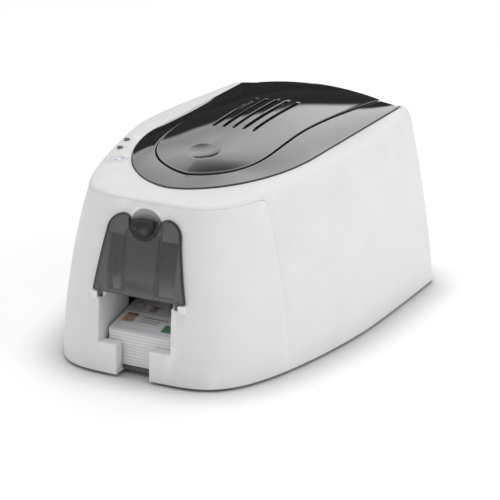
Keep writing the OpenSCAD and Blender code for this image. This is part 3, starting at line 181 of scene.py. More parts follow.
class Wiring:
    """A node tree with short ways to add nodes and to join their sockets."""

    def __init__(self, tree: bpy.types.NodeTree) -> None:
        """Starts on the node tree to fill."""
        self.tree = tree

    def put(self, socket: Socket, value: object) -> None:
        """Joins an output to a socket, or sets the socket's own value.

        Args:
            socket: the input to fill.
            value: an output socket, a number or a tuple.
        """
        if isinstance(value, bpy.types.NodeSocket):
            self.tree.links.new(value, socket)
        else:
            socket.default_value = value

    def fill(self, node: Node, sockets: dict[str, object]) -> Node:
        """Fills a node's inputs by name, with _ for a space in the name.

        Args:
            node: the node to fill.
            sockets: what goes into each named input.

        Returns:
            The node.
        """
        for name, value in sockets.items():
            self.put(node.inputs[name.replace("_", " ")], value)
        return node

    def add(self, kind: str, **sockets: object) -> Node:
        """Adds a node and fills its inputs.

        Args:
            kind: the node's type name, without its prefix.
            sockets: input names, with _ for a space, and what goes in: a number, a tuple
                or another node's output socket.

        Returns:
            The new node.
        """
        return self.fill(self.tree.nodes.new("ShaderNode" + kind), sockets)

    def maths(self, operation: str, *terms: object, clamp: bool = False) -> Socket:
        """The result of a Math node on numbers or sockets.

        Args:
            operation: the node's operation.
            terms: what goes in, in order.
            clamp: holds the result between 0 and 1.

        Returns:
            The result.
        """
        node = self.add("Math")
        node.operation = operation
        node.use_clamp = clamp
        for socket, term in zip(node.inputs, terms):
            self.put(socket, term)
        return node.outputs[0]

    def vector(self, operation: str, *terms: object) -> Socket:
        """The result of a Vector Math node on tuples or sockets.

        Args:
            operation: the node's operation.
            terms: what goes in, in order.

        Returns:
            The resulting vector, or the number where the operation gives one.
        """
        node = self.add("VectorMath")
        node.operation = operation
        for socket, term in zip(node.inputs, terms):
            self.put(socket, term)
        number = operation in ("DISTANCE", "DOT_PRODUCT", "LENGTH")
        return node.outputs["Value" if number else "Vector"]

    def scaled(self, colour: object, level: object) -> Socket:
        """A colour or vector made larger or smaller by a level.

        Args:
            colour: the colour or vector.
            level: what it is multiplied by.

        Returns:
            The scaled colour.
        """
        node = self.add("VectorMath")
        node.operation = "SCALE"
        self.put(node.inputs[0], colour)
        self.put(node.inputs["Scale"], level)
        return node.outputs[0]

    def parts(self, vector: object) -> Sequence[Socket]:
        """The X, Y and Z of a vector."""
        return self.add("SeparateXYZ", Vector=vector).outputs

    def blend(self, factor: object, a: object, b: object) -> Socket:
        """The colour between a and b at a factor. Tuples get an alpha of 1.

        Args:
            factor: 0 for a and 1 for b.
            a: the first colour.
            b: the second colour.

        Returns:
            The colour.
        """
        node = self.add("Mix")
        node.data_type = "RGBA"
        self.put(node.inputs[0], factor)
        for index, ink in ((6, a), (7, b)):
            self.put(node.inputs[index], (*ink, 1) if isinstance(ink, tuple) else ink)
        return node.outputs[2]

    def ramp(
        self, value: object, low: object, high: object, to_low: object = 0.0, to_high: object = 1.0
    ) -> Socket:
        """A value mapped from one range to another, held at its ends.

        Args:
            value: the value to map.
            low: the start of its range.
            high: the end of its range.
            to_low: the result at low.
            to_high: the result at high.

        Returns:
            The mapped value.
        """
        node = self.add("MapRange")
        for index, term in enumerate((value, low, high, to_low, to_high)):
            self.put(node.inputs[index], term)
        return node.outputs[0]


class Effects:
    """Shader node groups that several materials share, each built once."""

    def __init__(self) -> None:
        """Starts with no groups built."""
        self.built: dict[str, bpy.types.NodeTree] = {}

    def place(
        self,
        w: Wiring,
        name: str,
        output: tuple[str, str],
        fill: Callable[[Wiring, dict[str, Socket]], Socket],
        given: dict[str, object],
        **kinds: str,
    ) -> Socket:
        """Places a group in a material, and builds it the first time.

        Args:
            w: the material's wiring.
            name: the group's name.
            output: the name and kind of what the group puts out.
            fill: gets the group's own wiring and inputs, and returns its result.
            given: what goes into the group's inputs in this material.
            kinds: the names and kinds of its inputs, "Float", "Vector" or "Color".

        Returns:
            The group's output in the material.
        """
        if name not in self.built:
            tree = bpy.data.node_groups.new(name, "ShaderNodeTree")
            for side, sockets in (("INPUT", kinds), ("OUTPUT", dict([output]))):
                for title, kind in sockets.items():
                    kind = "NodeSocket" + kind
                    tree.interface.new_socket(name=title, in_out=side, socket_type=kind)
            inner = Wiring(tree)
            source = {one.name: one for one in tree.nodes.new("NodeGroupInput").outputs}
            sink = tree.nodes.new("NodeGroupOutput").inputs
            inner.put(sink[0], fill(inner, source))
            self.built[name] = tree
        node = w.add("Group")
        node.node_tree = self.built[name]
        return w.fill(node, given).outputs[0]

    def grain(self, w: Wiring, **given: object) -> Socket:
        """Fine grain on a slow swell.

        Args:
            w: the material's wiring.
            given: Vector, Scale and Swell.

        Returns:
            The height, for a Bump node.
        """

        def fill(g: Wiring, ins: dict[str, Socket]) -> Socket:
            """Adds a fine noise to a slow one."""
            place, scale = ins["Vector"], ins["Scale"]
            fine = g.add("TexNoise", Vector=place, Scale=scale, Detail=3.0, Roughness=0.6)
            coarse = g.maths("DIVIDE", scale, 28.0)
            slow = g.add("TexNoise", Vector=place, Scale=coarse, Detail=2.0)
            return g.maths("MULTIPLY_ADD", slow.outputs[0], ins["Swell"], fine.outputs[0])

        kinds = {"Vector": "Vector", "Scale": "Float", "Swell": "Float"}
        return self.place(w, "grain", ("Height", "Float"), fill, given, **kinds)

    def drift(self, w: Wiring, **given: object) -> Socket:
        """A colour that wanders a little lighter and darker over the surface.

        Args:
            w: the material's wiring.
            given: Vector, Scale, Amount and Colour.

        Returns:
            The colour.
        """

        def fill(g: Wiring, ins: dict[str, Socket]) -> Socket:
            """Scales the colour by a slow noise."""
            cloud = g.add(
                "TexNoise", Vector=ins["Vector"], Scale=ins["Scale"], Detail=4.0, Roughness=0.55
            )
            less = g.maths("SUBTRACT", 1.0, ins["Amount"])
            more = g.maths("ADD", 1.0, ins["Amount"])
            return g.scaled(ins["Colour"], g.ramp(cloud.outputs[0], 0.3, 0.7, less, more))

        kinds = {"Vector": "Vector", "Scale": "Float", "Amount": "Float", "Colour": "Color"}
        return self.place(w, "tint_drift", ("Colour", "Color"), fill, given, **kinds)

    def smudge(self, w: Wiring, **given: object) -> Socket:
        """Roughness that changes in soft patches, as handling leaves it.

        Args:
            w: the material's wiring.
            given: Vector, Scale, Base and Spread.

        Returns:
            The roughness.
        """

        def fill(g: Wiring, ins: dict[str, Socket]) -> Socket:
            """Adds patches to the base roughness."""
            patch = g.add(
                "TexNoise",
                Vector=ins["Vector"],
                Scale=ins["Scale"],
                Detail=5.0,
                Roughness=0.65,
                Distortion=0.6,
            )
            reach = g.ramp(patch.outputs[0], 0.4, 0.75)
            return g.maths("MULTIPLY_ADD", reach, ins["Spread"], ins["Base"])

        kinds = {"Vector": "Vector", "Scale": "Float", "Base": "Float", "Spread": "Float"}
        return self.place(w, "smudge", ("Roughness", "Float"), fill, given, **kinds)

    def edge(self, w: Wiring, **given: object) -> Socket:
        """Rubbed edges: a colour that lifts where the surface turns sharply.

        Args:
            w: the material's wiring.
            given: Colour, Rubbed and Amount.

        Returns:
            The colour.
        """

        def fill(g: Wiring, ins: dict[str, Socket]) -> Socket:
            """Blends in the rubbed colour at sharp turns."""
            bend = g.add("NewGeometry").outputs["Pointiness"]
            mask = g.maths("MULTIPLY", g.ramp(bend, 0.52, 0.6), ins["Amount"])
            return g.blend(mask, ins["Colour"], ins["Rubbed"])

        kinds = {"Colour": "Color", "Rubbed": "Color", "Amount": "Float"}
        return self.place(w, "rubbed_edge", ("Colour", "Color"), fill, given, **kinds)

    def lines(self, w: Wiring, **given: object) -> Socket:
        """Fine lines drawn along one axis, as on rolled or turned metal.

        Args:
            w: the material's wiring.
            given: Vector, Stretch and Scale.

        Returns:
            The height, for a Bump node.
        """

        def fill(g: Wiring, ins: dict[str, Socket]) -> Socket:
            """Draws a noise out along one axis."""
            drawn = g.vector("MULTIPLY", ins["Vector"], ins["Stretch"])
            noise = g.add("TexNoise", Vector=drawn, Scale=ins["Scale"], Detail=4.0, Roughness=0.7)
            return noise.outputs[0]

        kinds = {"Vector": "Vector", "Stretch": "Vector", "Scale": "Float"}
        return self.place(w, "drawn_lines", ("Height", "Float"), fill, given, **kinds)

    def patch(self, w: Wiring, **given: object) -> Socket:
        """A soft-edged rectangle in X and Y.

        Args:
            w: the material's wiring.
            given: Vector, Centre, Half and Sharp.

        Returns:
            The mask.
        """

        def fill(g: Wiring, ins: dict[str, Socket]) -> Socket:
            """Measures the room to each side of the rectangle."""
            away = g.vector("ABSOLUTE", g.vector("SUBTRACT", ins["Vector"], ins["Centre"]))
            room = g.parts(g.vector("SUBTRACT", ins["Half"], away))
            sides = [g.maths("MULTIPLY", room[i], ins["Sharp"], clamp=True) for i in (0, 1)]
            return g.maths("MULTIPLY", *sides)

        kinds = {"Vector": "Vector", "Centre": "Vector", "Half": "Vector", "Sharp": "Float"}
        return self.place(w, "patch", ("Mask", "Float"), fill, given, **kinds)

    def ring(self, w: Wiring, **given: object) -> Socket:
        """A soft-edged ring round an upright axis.

        Args:
            w: the material's wiring.
            given: Vector, Centre, Radius, Half and Sharp.

        Returns:
            The mask.
        """

        def fill(g: Wiring, ins: dict[str, Socket]) -> Socket:
            """Measures the distance from the ring."""
            way = g.vector("SUBTRACT", ins["Vector"], ins["Centre"])
            flat = g.vector("MULTIPLY", way, (1, 1, 0))
            off = g.maths("ABSOLUTE", g.maths("SUBTRACT", g.vector("LENGTH", flat), ins["Radius"]))
            room = g.maths("SUBTRACT", ins["Half"], off)
            return g.maths("MULTIPLY", room, ins["Sharp"], clamp=True)

        kinds = dict.fromkeys(("Radius", "Half", "Sharp"), "Float")
        kinds = {"Vector": "Vector", "Centre": "Vector", **kinds}
        return self.place(w, "ring", ("Mask", "Float"), fill, given, **kinds)


class Paintshop:
    """Turns finishes into materials, each made once."""

    DRIFT_SCALE = 38.0
    SMUDGE_SCALE = 45.0
    EDGE_WEAR = 0.45
    BUMP_STRENGTH = 0.6
    ROLLED = (0.04, 1.0, 1.0)
    TURNED = (1.0, 0.1, 0.1)
    TURNED_SCALE = 1500.0

    def __init__(self) -> None:
        """Starts with an empty shelf of materials."""
        self.effects = Effects()
        self.shelf: dict[str, Material] = {}

    def inside(self, material: Material) -> tuple[Wiring, Node, Socket]:
        """A material's wiring, its Principled node and its Object coordinates.

        Args:
            material: the material to look into.

        Returns:
            The three of them, in that order.
        """
        wiring = Wiring(material.node_tree)
        shader = next(n for n in wiring.tree.nodes if n.type == "BSDF_PRINCIPLED")
        return wiring, shader, wiring.add("TexCoord").outputs["Object"]

    def start(self, name: str, finish: Finish) -> tuple[Material, Wiring, Node, Socket]:
        """Starts a material with what is the same all over its surface.

        Args:
            name: the material's name.
            finish: gives the values of the shader's own sockets.

        Returns:
            The material, its wiring, its Principled node and its Object coordinates.
        """
        material = bpy.data.materials.new(name)
        material.use_nodes = True
        w, shader, place = self.inside(material)
        shader.inputs["Specular IOR Level"].default_value = finish.specular
        shader.inputs["Metallic"].default_value = finish.metallic
        shader.inputs["Coat Weight"].default_value = finish.coat
        shader.inputs["Alpha"].default_value = finish.alpha
        return material, w, shader, place

    def variant(self, finish: Finish, name: str) -> tuple[Material, Wiring, Node, Socket]:
        """A renamed copy of a finish's material, opened for one more effect.

        Args:
            finish: the finish to start from.
            name: the copy's name.

        Returns:
            The material, its wiring, its Principled node and its Object coordinates.
        """
        material = self.material(finish).copy()
        material.name = name
        return (material, *self.inside(material))

    def colour(self, w: Wiring, place: Socket, finish: Finish) -> Socket:
        """The finish's drifting colour with lightly rubbed edges.

        Args:
            w: the material's wiring.
            place: the surface point.
            finish: gives the colour and its drift.

        Returns:
            The colour.
        """
        lift = tuple(min(1.0, c * 1.25 + 0.02) for c in finish.colour)
        tint = self.effects.drift(
            w, Vector=place, Scale=self.DRIFT_SCALE, Amount=finish.drift, Colour=(*finish.colour, 1)
        )
        return self.effects.edge(w, Colour=tint, Rubbed=(*lift, 1), Amount=self.EDGE_WEAR)

    def relief(self, w: Wiring, height: Socket, depth: float) -> Socket:
        """A bumped normal from a height."""
        bump = w.add("Bump", Height=height, Distance=depth, Strength=self.BUMP_STRENGTH)
        return bump.outputs["Normal"]

    def roughness(self, w: Wiring, place: Socket, finish: Finish) -> Socket:
        """The finish's roughness with soft patches of handling.

        Args:
            w: the material's wiring.
            place: the surface point.
            finish: gives the roughness and its spread.

        Returns:
            The roughness.
        """
        return self.effects.smudge(
            w, Vector=place, Scale=self.SMUDGE_SCALE, Base=finish.roughness, Spread=finish.spread
        )

    def surface(
        self, w: Wiring, shader: Node, place: Socket, finish: Finish, swell: float | None = None
    ) -> None:
        """Gives a shader the finish's roughness and the relief of its grain or drawn lines.

        Args:
            w: the material's wiring.
            shader: its Principled node.
            place: the surface point.
            finish: gives the roughness and the relief.
            swell: the slow swell's strength, where it isn't the finish's own.
        """
        w.put(shader.inputs["Roughness"], self.roughness(w, place, finish))
        if finish.kind is Kind.METAL:
            height = self.effects.lines(w, Vector=place, Stretch=self.ROLLED, Scale=finish.grain)
        else:
            swell = finish.swell if swell is None else swell
            height = self.effects.grain(w, Vector=place, Scale=finish.grain, Swell=swell)
        w.put(shader.inputs["Normal"], self.relief(w, height, finish.depth))

    def material(self, finish: Finish) -> Material:
        """The material of a finish.

        Args:
            finish: the finish to make up.

        Returns:
            Its material, the same one each time.
        """
        if finish.name not in self.shelf:
            material, w, shader, place = self.start(finish.name, finish)
            colour = self.colour(w, place, finish)
            if finish.kind is Kind.BOARD:
                colour = self.tracks(w, place, finish, colour)
            w.put(shader.inputs["Base Color"], colour)
            self.surface(w, shader, place, finish)
            self.shelf[finish.name] = material
        return self.shelf[finish.name]

    def tracks(self, w: Wiring, place: Socket, finish: Finish, ground: Socket) -> Socket:
        """Lighter tracks and tinned pads over a circuit board.

        Args:
            w: the material's wiring.
            place: the surface point.
            finish: the board's finish.
            ground: the board's colour.

        Returns:
            The colour with the tracks and pads.
        """
        tin = (0.5, 0.42, 0.2)
        brick = w.add("TexBrick", Vector=place, Scale=150.0, Mortar_Size=0.05)
        light = tuple(c * 2.2 + 0.01 for c in finish.colour)
        lines = w.blend(brick.outputs["Fac"], ground, light)
        dots = w.add("TexVoronoi", Vector=place, Scale=260.0)
        pad = w.ramp(dots.outputs["Distance"], 0.2, 0.16)
        return w.blend(w.maths("MULTIPLY", pad, 0.8), lines, tin)

    def two_part(self, name: str, middle: Finish, ends: Finish, half: float) -> Material:
        """One finish within a distance of the middle of the rollers and another beyond it.

        Args:
            name: the material's name.
            middle: the finish between -half and +half in X.
            ends: the finish outside that.
            half: where they change.

        Returns:
            The material.
        """
        seam, turned_depth = 0.0002, 0.00002
        material, w, shader, place = self.start(name, middle)
        mask = w.ramp(w.maths("ABSOLUTE", w.parts(place)[0]), half, half + seam)
        inks = [self.colour(w, place, finish) for finish in (middle, ends)]
        rough = [self.roughness(w, place, finish) for finish in (middle, ends)]
        w.put(shader.inputs["Base Color"], w.blend(mask, *inks))
        w.put(shader.inputs["Roughness"], w.ramp(mask, 0.0, 1.0, *rough))
        w.put(shader.inputs["Metallic"], w.maths("MULTIPLY", mask, ends.metallic))
        turned = self.effects.lines(
            w, Vector=place, Stretch=self.TURNED, Scale=self.TURNED_SCALE
        )
        w.put(shader.inputs["Normal"], self.relief(w, turned, turned_depth))
        return material

    def marked_shell(self, marks: "TopMarks") -> Material:
        """White shell plastic with the printed arcs round the control button.

        Args:
            marks: the sizes of the arcs.

        Returns:
            The material.
        """
        material, w, shader, place = self.start("white_shell_marked", WHITE_SHELL)
        ring = self.effects.ring(
            w,
            Vector=place,
            Centre=marks.centre,
            Radius=marks.arc_r,
            Half=marks.arc_half,
            Sharp=marks.arc_sharp,
        )
        gap = self.effects.patch(
            w, Vector=place, Centre=marks.centre, Half=marks.gap, Sharp=marks.gap_sharp
        )
        arcs = w.maths("MULTIPLY", ring, w.maths("SUBTRACT", 1.0, gap))
        inked = w.maths("MULTIPLY", arcs, marks.arc_ink)
        white = self.colour(w, place, WHITE_SHELL)
        w.put(shader.inputs["Base Color"], w.blend(inked, white, marks.ink))
        self.surface(w, shader, place, WHITE_SHELL)
        return material

    def button(self, marks: "TopMarks") -> Material:
        """White plastic button with a lit lilac ring and dot.

        Args:
            marks: the sizes of the ring and the dot.

        Returns:
            The material.
        """
        material, w, shader, place = self.start("button_lilac", WHITE_SHELL)
        spots = (
            (marks.centre, marks.ring_r, marks.ring_half, marks.ring_sharp, marks.ring_ink),
            (marks.dot, 0.0, marks.dot_r, marks.dot_sharp, marks.dot_ink),
        )
        lit = []
        for centre, radius, half, sharp, ink in spots:
            mask = self.effects.ring(
                w, Vector=place, Centre=centre, Radius=radius, Half=half, Sharp=sharp
            )
            lit.append(w.maths("MULTIPLY", mask, ink))
        shine = w.maths("ADD", *lit, clamp=True)
        white = self.colour(w, place, WHITE_SHELL)
        w.put(shader.inputs["Base Color"], w.blend(shine, white, marks.ink))
        self.surface(w, shader, place, WHITE_SHELL)
        return material

    def dimpled_gloss(self, centre_y: float, radius: float) -> Material:
        """Gloss black that turns silky within the finger dimple.

        Args:
            centre_y: the dimple's place along Y, in metres.
            radius: the dimple's radius, in metres.

        Returns:
            The material.
        """
        silk = 0.2
        material, w, shader, place = self.variant(LID_BLACK, "lid_black_dimpled")
        away = w.vector("DISTANCE", w.vector("MULTIPLY", place, (1, 1, 0)), (0, centre_y, 0))
        within = w.ramp(away, radius * 0.8, radius * 0.95, silk, 0.0)
        polished = shader.inputs["Roughness"].links[0].from_socket
        w.put(shader.inputs["Roughness"], w.maths("MAXIMUM", polished, within))
        return material

    def shell_with_painted_recess_shade(self, centre: Point, radius: float, grey: Colour) -> Material:
        """White shell whose round finger recess is painted greyer than the rest, as painted shade.

        Args:
            centre: the middle of the recess.
            radius: its reach, in metres.
            grey: the colour of the painted shade.

        Returns:
            The material.
        """
        soft = 0.0004
        material, w, shader, place = self.variant(WHITE_SHELL, "shell_recess_painted_shade")
        # Painted shade: within the recess the white turns grey, so that the recess reads darker.
        within = w.ramp(w.vector("DISTANCE", place, centre), radius - soft, radius, 1.0, 0.0)
        white = shader.inputs["Base Color"].links[0].from_socket
        w.put(shader.inputs["Base Color"], w.blend(within, white, grey))
        return material

    def door(self, look: "DoorLook") -> Material:
        """Smoked clear plastic, darker along its ribs and border, with a painted highlight on the
        middle panel and painted shade in the other fields.

        Args:
            look: the outline, the rib lines and the fields of painted highlight and painted shade,
                in |X| and Z.

        Returns:
            The material.
        """
        material, w, shader, place = self.start(DOOR_SMOKE.name, DOOR_SMOKE)
        spot = w.parts(place)
        flat = w.add("CombineXYZ", X=w.maths("ABSOLUTE", spot[0]), Y=spot[2]).outputs[0]
        # The fields paint light and shade onto the door's colour: a painted highlight in the
        # middle, painted shade beside and below it.
        tint = self.fields(w, flat, self.colour(w, place, DOOR_SMOKE), look.fields)
        line = w.maths("MULTIPLY", self.field_mask(w, flat, look.rib), look.rib.strength)
        dark = w.maths("MAXIMUM", self.door_border(w, spot, flat, look), line)
        w.put(shader.inputs["Base Color"], w.blend(dark, tint, look.rib.ink))
        w.put(shader.inputs["Alpha"], w.ramp(dark, 0.0, 1.0, DOOR_SMOKE.alpha, look.dark_alpha))
        self.surface(w, shader, place, DOOR_SMOKE)
        return material

    def door_border(
        self, w: Wiring, spot: Sequence[Socket], flat: Socket, look: "DoorLook"
    ) -> Socket:
        """A mask along the door's outline: its slanted sides, round shoulders, top and scoop.

        Args:
            w: the material's wiring.
            spot: the surface point's three coordinates.
            flat: the point as |X|, Z.
            look: the outline's sizes.

        Returns:
            1 on the border and 0 away from it.
        """
        foot, side, r = look.foot, look.side, look.corner_r
        slant = Vector((foot[1] - side[1], side[0] - foot[0])).normalized()
        inside = w.vector("DOT_PRODUCT", w.vector("SUBTRACT", flat, (*foot, 0)), (*slant, 0))
        centre = (side[0] - r, side[1], 0)
        left_of = w.maths("GREATER_THAN", centre[0], w.maths("ABSOLUTE", spot[0]))
        below = w.maths("LESS_THAN", spot[2], side[1])
        arc = w.maths("SUBTRACT", r, w.vector("DISTANCE", flat, centre))
        arc = w.maths("ADD", arc, w.maths("MAXIMUM", left_of, below))
        top = w.maths("SUBTRACT", look.top, spot[2])
        from_scoop = w.vector("DISTANCE", flat, (0, look.scoop_z, 0))
        scoop = w.maths("ABSOLUTE", w.maths("SUBTRACT", from_scoop, look.scoop_r))
        near = w.maths("MINIMUM", w.maths("MINIMUM", inside, arc), w.maths("MINIMUM", top, scoop))
        return w.ramp(near, look.border * 0.6, look.border, 1.0, 0.0)

    def field_mask(self, w: Wiring, place: Socket, one: "Field") -> Socket:
        """A mask of one rectangular field.

        Args:
            w: the material's wiring.
            place: the surface point.
            one: the field.

        Returns:
            The mask.
        """
        return self.effects.patch(
            w, Vector=place, Centre=one.centre, Half=one.half, Sharp=one.sharp
        )

    def fields(
        self, w: Wiring, place: Socket, ground: Socket, fields: "Sequence[Field]"
    ) -> Socket:
        """Lays rectangular fields of other colours over a colour.

        Args:
            w: the material's wiring.
            place: the surface point.
            ground: the colour below the fields.
            fields: the fields, the lowest first.

        Returns:
            The colour.
        """
        for one in fields:
            ink: object = one.ink
            if one.broken:
                cells = w.add("TexVoronoi", Vector=place, Scale=one.broken)
                ink = w.blend(w.ramp(cells.outputs["Distance"], 0.25, 0.6), one.ink, one.second)
            mask = w.maths("MULTIPLY", self.field_mask(w, place, one), one.strength)
            ground = w.blend(mask, ground, ink)
        return ground

    def printed_card(self, art: "CardArt") -> Material:
        """White card with a printed top side, and shadow lines between the cards' edges.

        Args:
            art: where the printed fields lie and their inks.

        Returns:
            The material.
        """
        material, w, shader, place = self.start("card_printed", CARD_WHITE)
        white = self.colour(w, place, CARD_WHITE)
        picture = self.fields(w, place, white, art.fields)
        up = w.parts(w.add("NewGeometry").outputs["Normal"])[2]
        height = w.vector("DOT_PRODUCT", place, art.upright)
        step = w.maths("MODULO", w.maths("DIVIDE", height, art.line_pitch), 1.0)
        off = w.maths("ABSOLUTE", w.maths("SUBTRACT", step, 0.5))
        line = w.ramp(off, *art.line_half, art.line_depth, 0.0)
        edge = w.blend(line, white, art.line_ink)
        w.put(shader.inputs["Base Color"], w.blend(w.ramp(up, 0.7, 0.8), edge, picture))
        self.surface(w, shader, place, CARD_WHITE, swell=1.0)
        return material

    def ribbon_panels(self, length: float = 1 / 11, start: float = -0.2) -> Material:
        """Thin dye film in yellow, red, blue and black panels along its length.

        Args:
            length: the length of one set of panels, in metres.
            start: where a set starts, along Y.

        Returns:
            The material.
        """
        dyes = ((0.3, (0.5, 0.03, 0.16)), (0.6, (0.02, 0.2, 0.42)), (0.85, (0.02, 0.02, 0.02)))
        material, w, shader, place = self.start(RIBBON_FILM.name, RIBBON_FILM)
        along = w.maths("SUBTRACT", w.parts(place)[1], start)
        step = w.maths("MODULO", w.maths("DIVIDE", along, length), 1.0)
        ink: object = RIBBON_FILM.colour
        for share, dye in dyes:
            ink = w.blend(w.maths("GREATER_THAN", step, share), ink, dye)
        tint = self.effects.drift(w, Vector=place, Scale=60.0, Amount=RIBBON_FILM.drift, Colour=ink)
        w.put(shader.inputs["Base Color"], tint)
        self.surface(w, shader, place, RIBBON_FILM)
        return material


@dataclass(frozen=True)
class TopMarks:
    """Printed and lit marks of the control button beside the lid, in metres."""

    centre: Point = (-0.065, -0.067, 0.0)
    arc_r: float = 0.0088
    arc_half: float = 0.0004
    arc_sharp: float = 6000.0
    arc_ink: float = 0.55
    gap: Point = (0.0066, 0.02, 0.0)
    gap_sharp: float = 4000.0
    ring_r: float = 0.0046
    ring_half: float = 0.0007
    ring_sharp: float = 3000.0
    ring_ink: float = 0.5
    dot: Point = (-0.065, -0.0682, 0.0)
    dot_r: float = 0.0021
    dot_sharp: float = 900.0
    dot_ink: float = 0.7
    ink: Colour = (0.30, 0.28, 0.62)


@dataclass(frozen=True)
class Field:
    """One rectangular field of a surface: another colour, plain or broken into spots."""

    centre: Point
    half: Point
    ink: Colour
    strength: float = 0.9
    broken: float = 0.0
    second: Colour = (0.8, 0.8, 0.8)
    sharp: float = 6000.0


@dataclass(frozen=True)
class CardArt:
    """A plain made-up card design, and the shadow lines between the cards' edges."""

    upright: Point = (0.0, -0.225, 0.974)
    line_pitch: float = 0.00228
    line_half: Spot = (0.06, 0.16)
    line_depth: float = 0.42
    line_ink: Colour = (0.25, 0.25, 0.26)
    fields: tuple[Field, ...] = (
        Field(mm(-4.5, -99, 0), mm(27, 13, 1), (0.7, 0.68, 0.73), 0.6),
        Field(
            mm(-4.5, -103, 0), mm(26, 8, 1), (0.36, 0.26, 0.36), 0.55, 420, (0.78, 0.76, 0.8)
        ),
        Field(mm(-4.5, -112.4, 0), mm(26, 0.5, 1), (0.3, 0.3, 0.36), 0.8),
        Field(mm(14, -127.5, 0), mm(5.5, 4.6, 1), (0.03, 0.2, 0.06)),
        Field(
            mm(-22.5, -121.5, 0), mm(4.6, 5.4, 1), (0.3, 0.11, 0.04), 0.85, 520, (0.62, 0.36, 0.18)
        ),
        Field(mm(-22.5, -116.8, 0), mm(4.6, 1.2, 1), (0.07, 0.03, 0.03), 0.8),
        Field(mm(-2.5, -118.5, 0), mm(10.5, 0.8, 1), (0.3, 0.29, 0.36)),
        Field(mm(-5, -121.5, 0), mm(8, 0.6, 1), (0.36, 0.35, 0.42)),
        Field(mm(-5.5, -124.2, 0), mm(7.5, 0.6, 1), (0.36, 0.35, 0.42)),
        Field(mm(-4.5, -134.5, 0), mm(24, 2.2, 1), (0.64, 0.62, 0.7), 0.5),
        Field(mm(-10, -107, 0), mm(3, 4, 1), (0.05, 0.05, 0.18), 0.85, 700, (0.5, 0.3, 0.25)),
        Field(mm(9, -104, 0), mm(7, 5, 1), (0.5, 0.28, 0.14), 0.65, 650, (0.76, 0.74, 0.78)),
    )


@dataclass(frozen=True)
class DoorLook:
    """Outline, rib lines, and fields of painted highlight and painted shade on the clear door,
    given in |X| and Z.
    """

    foot: Spot = mm(38.0, 65.0)
    side: Spot = mm(30.5, 109.5)
    corner_r: float = 13.0 * MM
    top: float = 122.5 * MM
    scoop_r: float = 12.6 * MM
    scoop_z: float = 119.0 * MM
    border: float = 1.2 * MM
    dark_alpha: float = 0.92
    rib: Field = Field(mm(14, 89, 0), mm(0.95, 23, 1), (0.012, 0.012, 0.013), 0.7, sharp=1600.0)
    fields: tuple[Field, ...] = (
        # Painted highlight: the lighter middle panel.
        Field(mm(0, 88, 0), mm(13.6, 22, 1), (0.125, 0.125, 0.13), 1.0, sharp=400.0),
        # Painted shade: the darker side columns, the darker low band and the thin dark lines at the
        # feeder opening's sides.
        Field(mm(20.8, 95, 0), mm(6.8, 16, 1), (0.095, 0.095, 0.1), 1.0, sharp=400.0),
        Field(mm(0, 71, 0), mm(13.6, 5, 1), (0.07, 0.07, 0.074), 0.8, sharp=300.0),
        Field(mm(27.8, 90, 0), mm(0.8, 22, 1), (0.03, 0.03, 0.032), 0.5, sharp=1500.0),
    )


# ---- modelling moves -----------------------------------------------------------------------


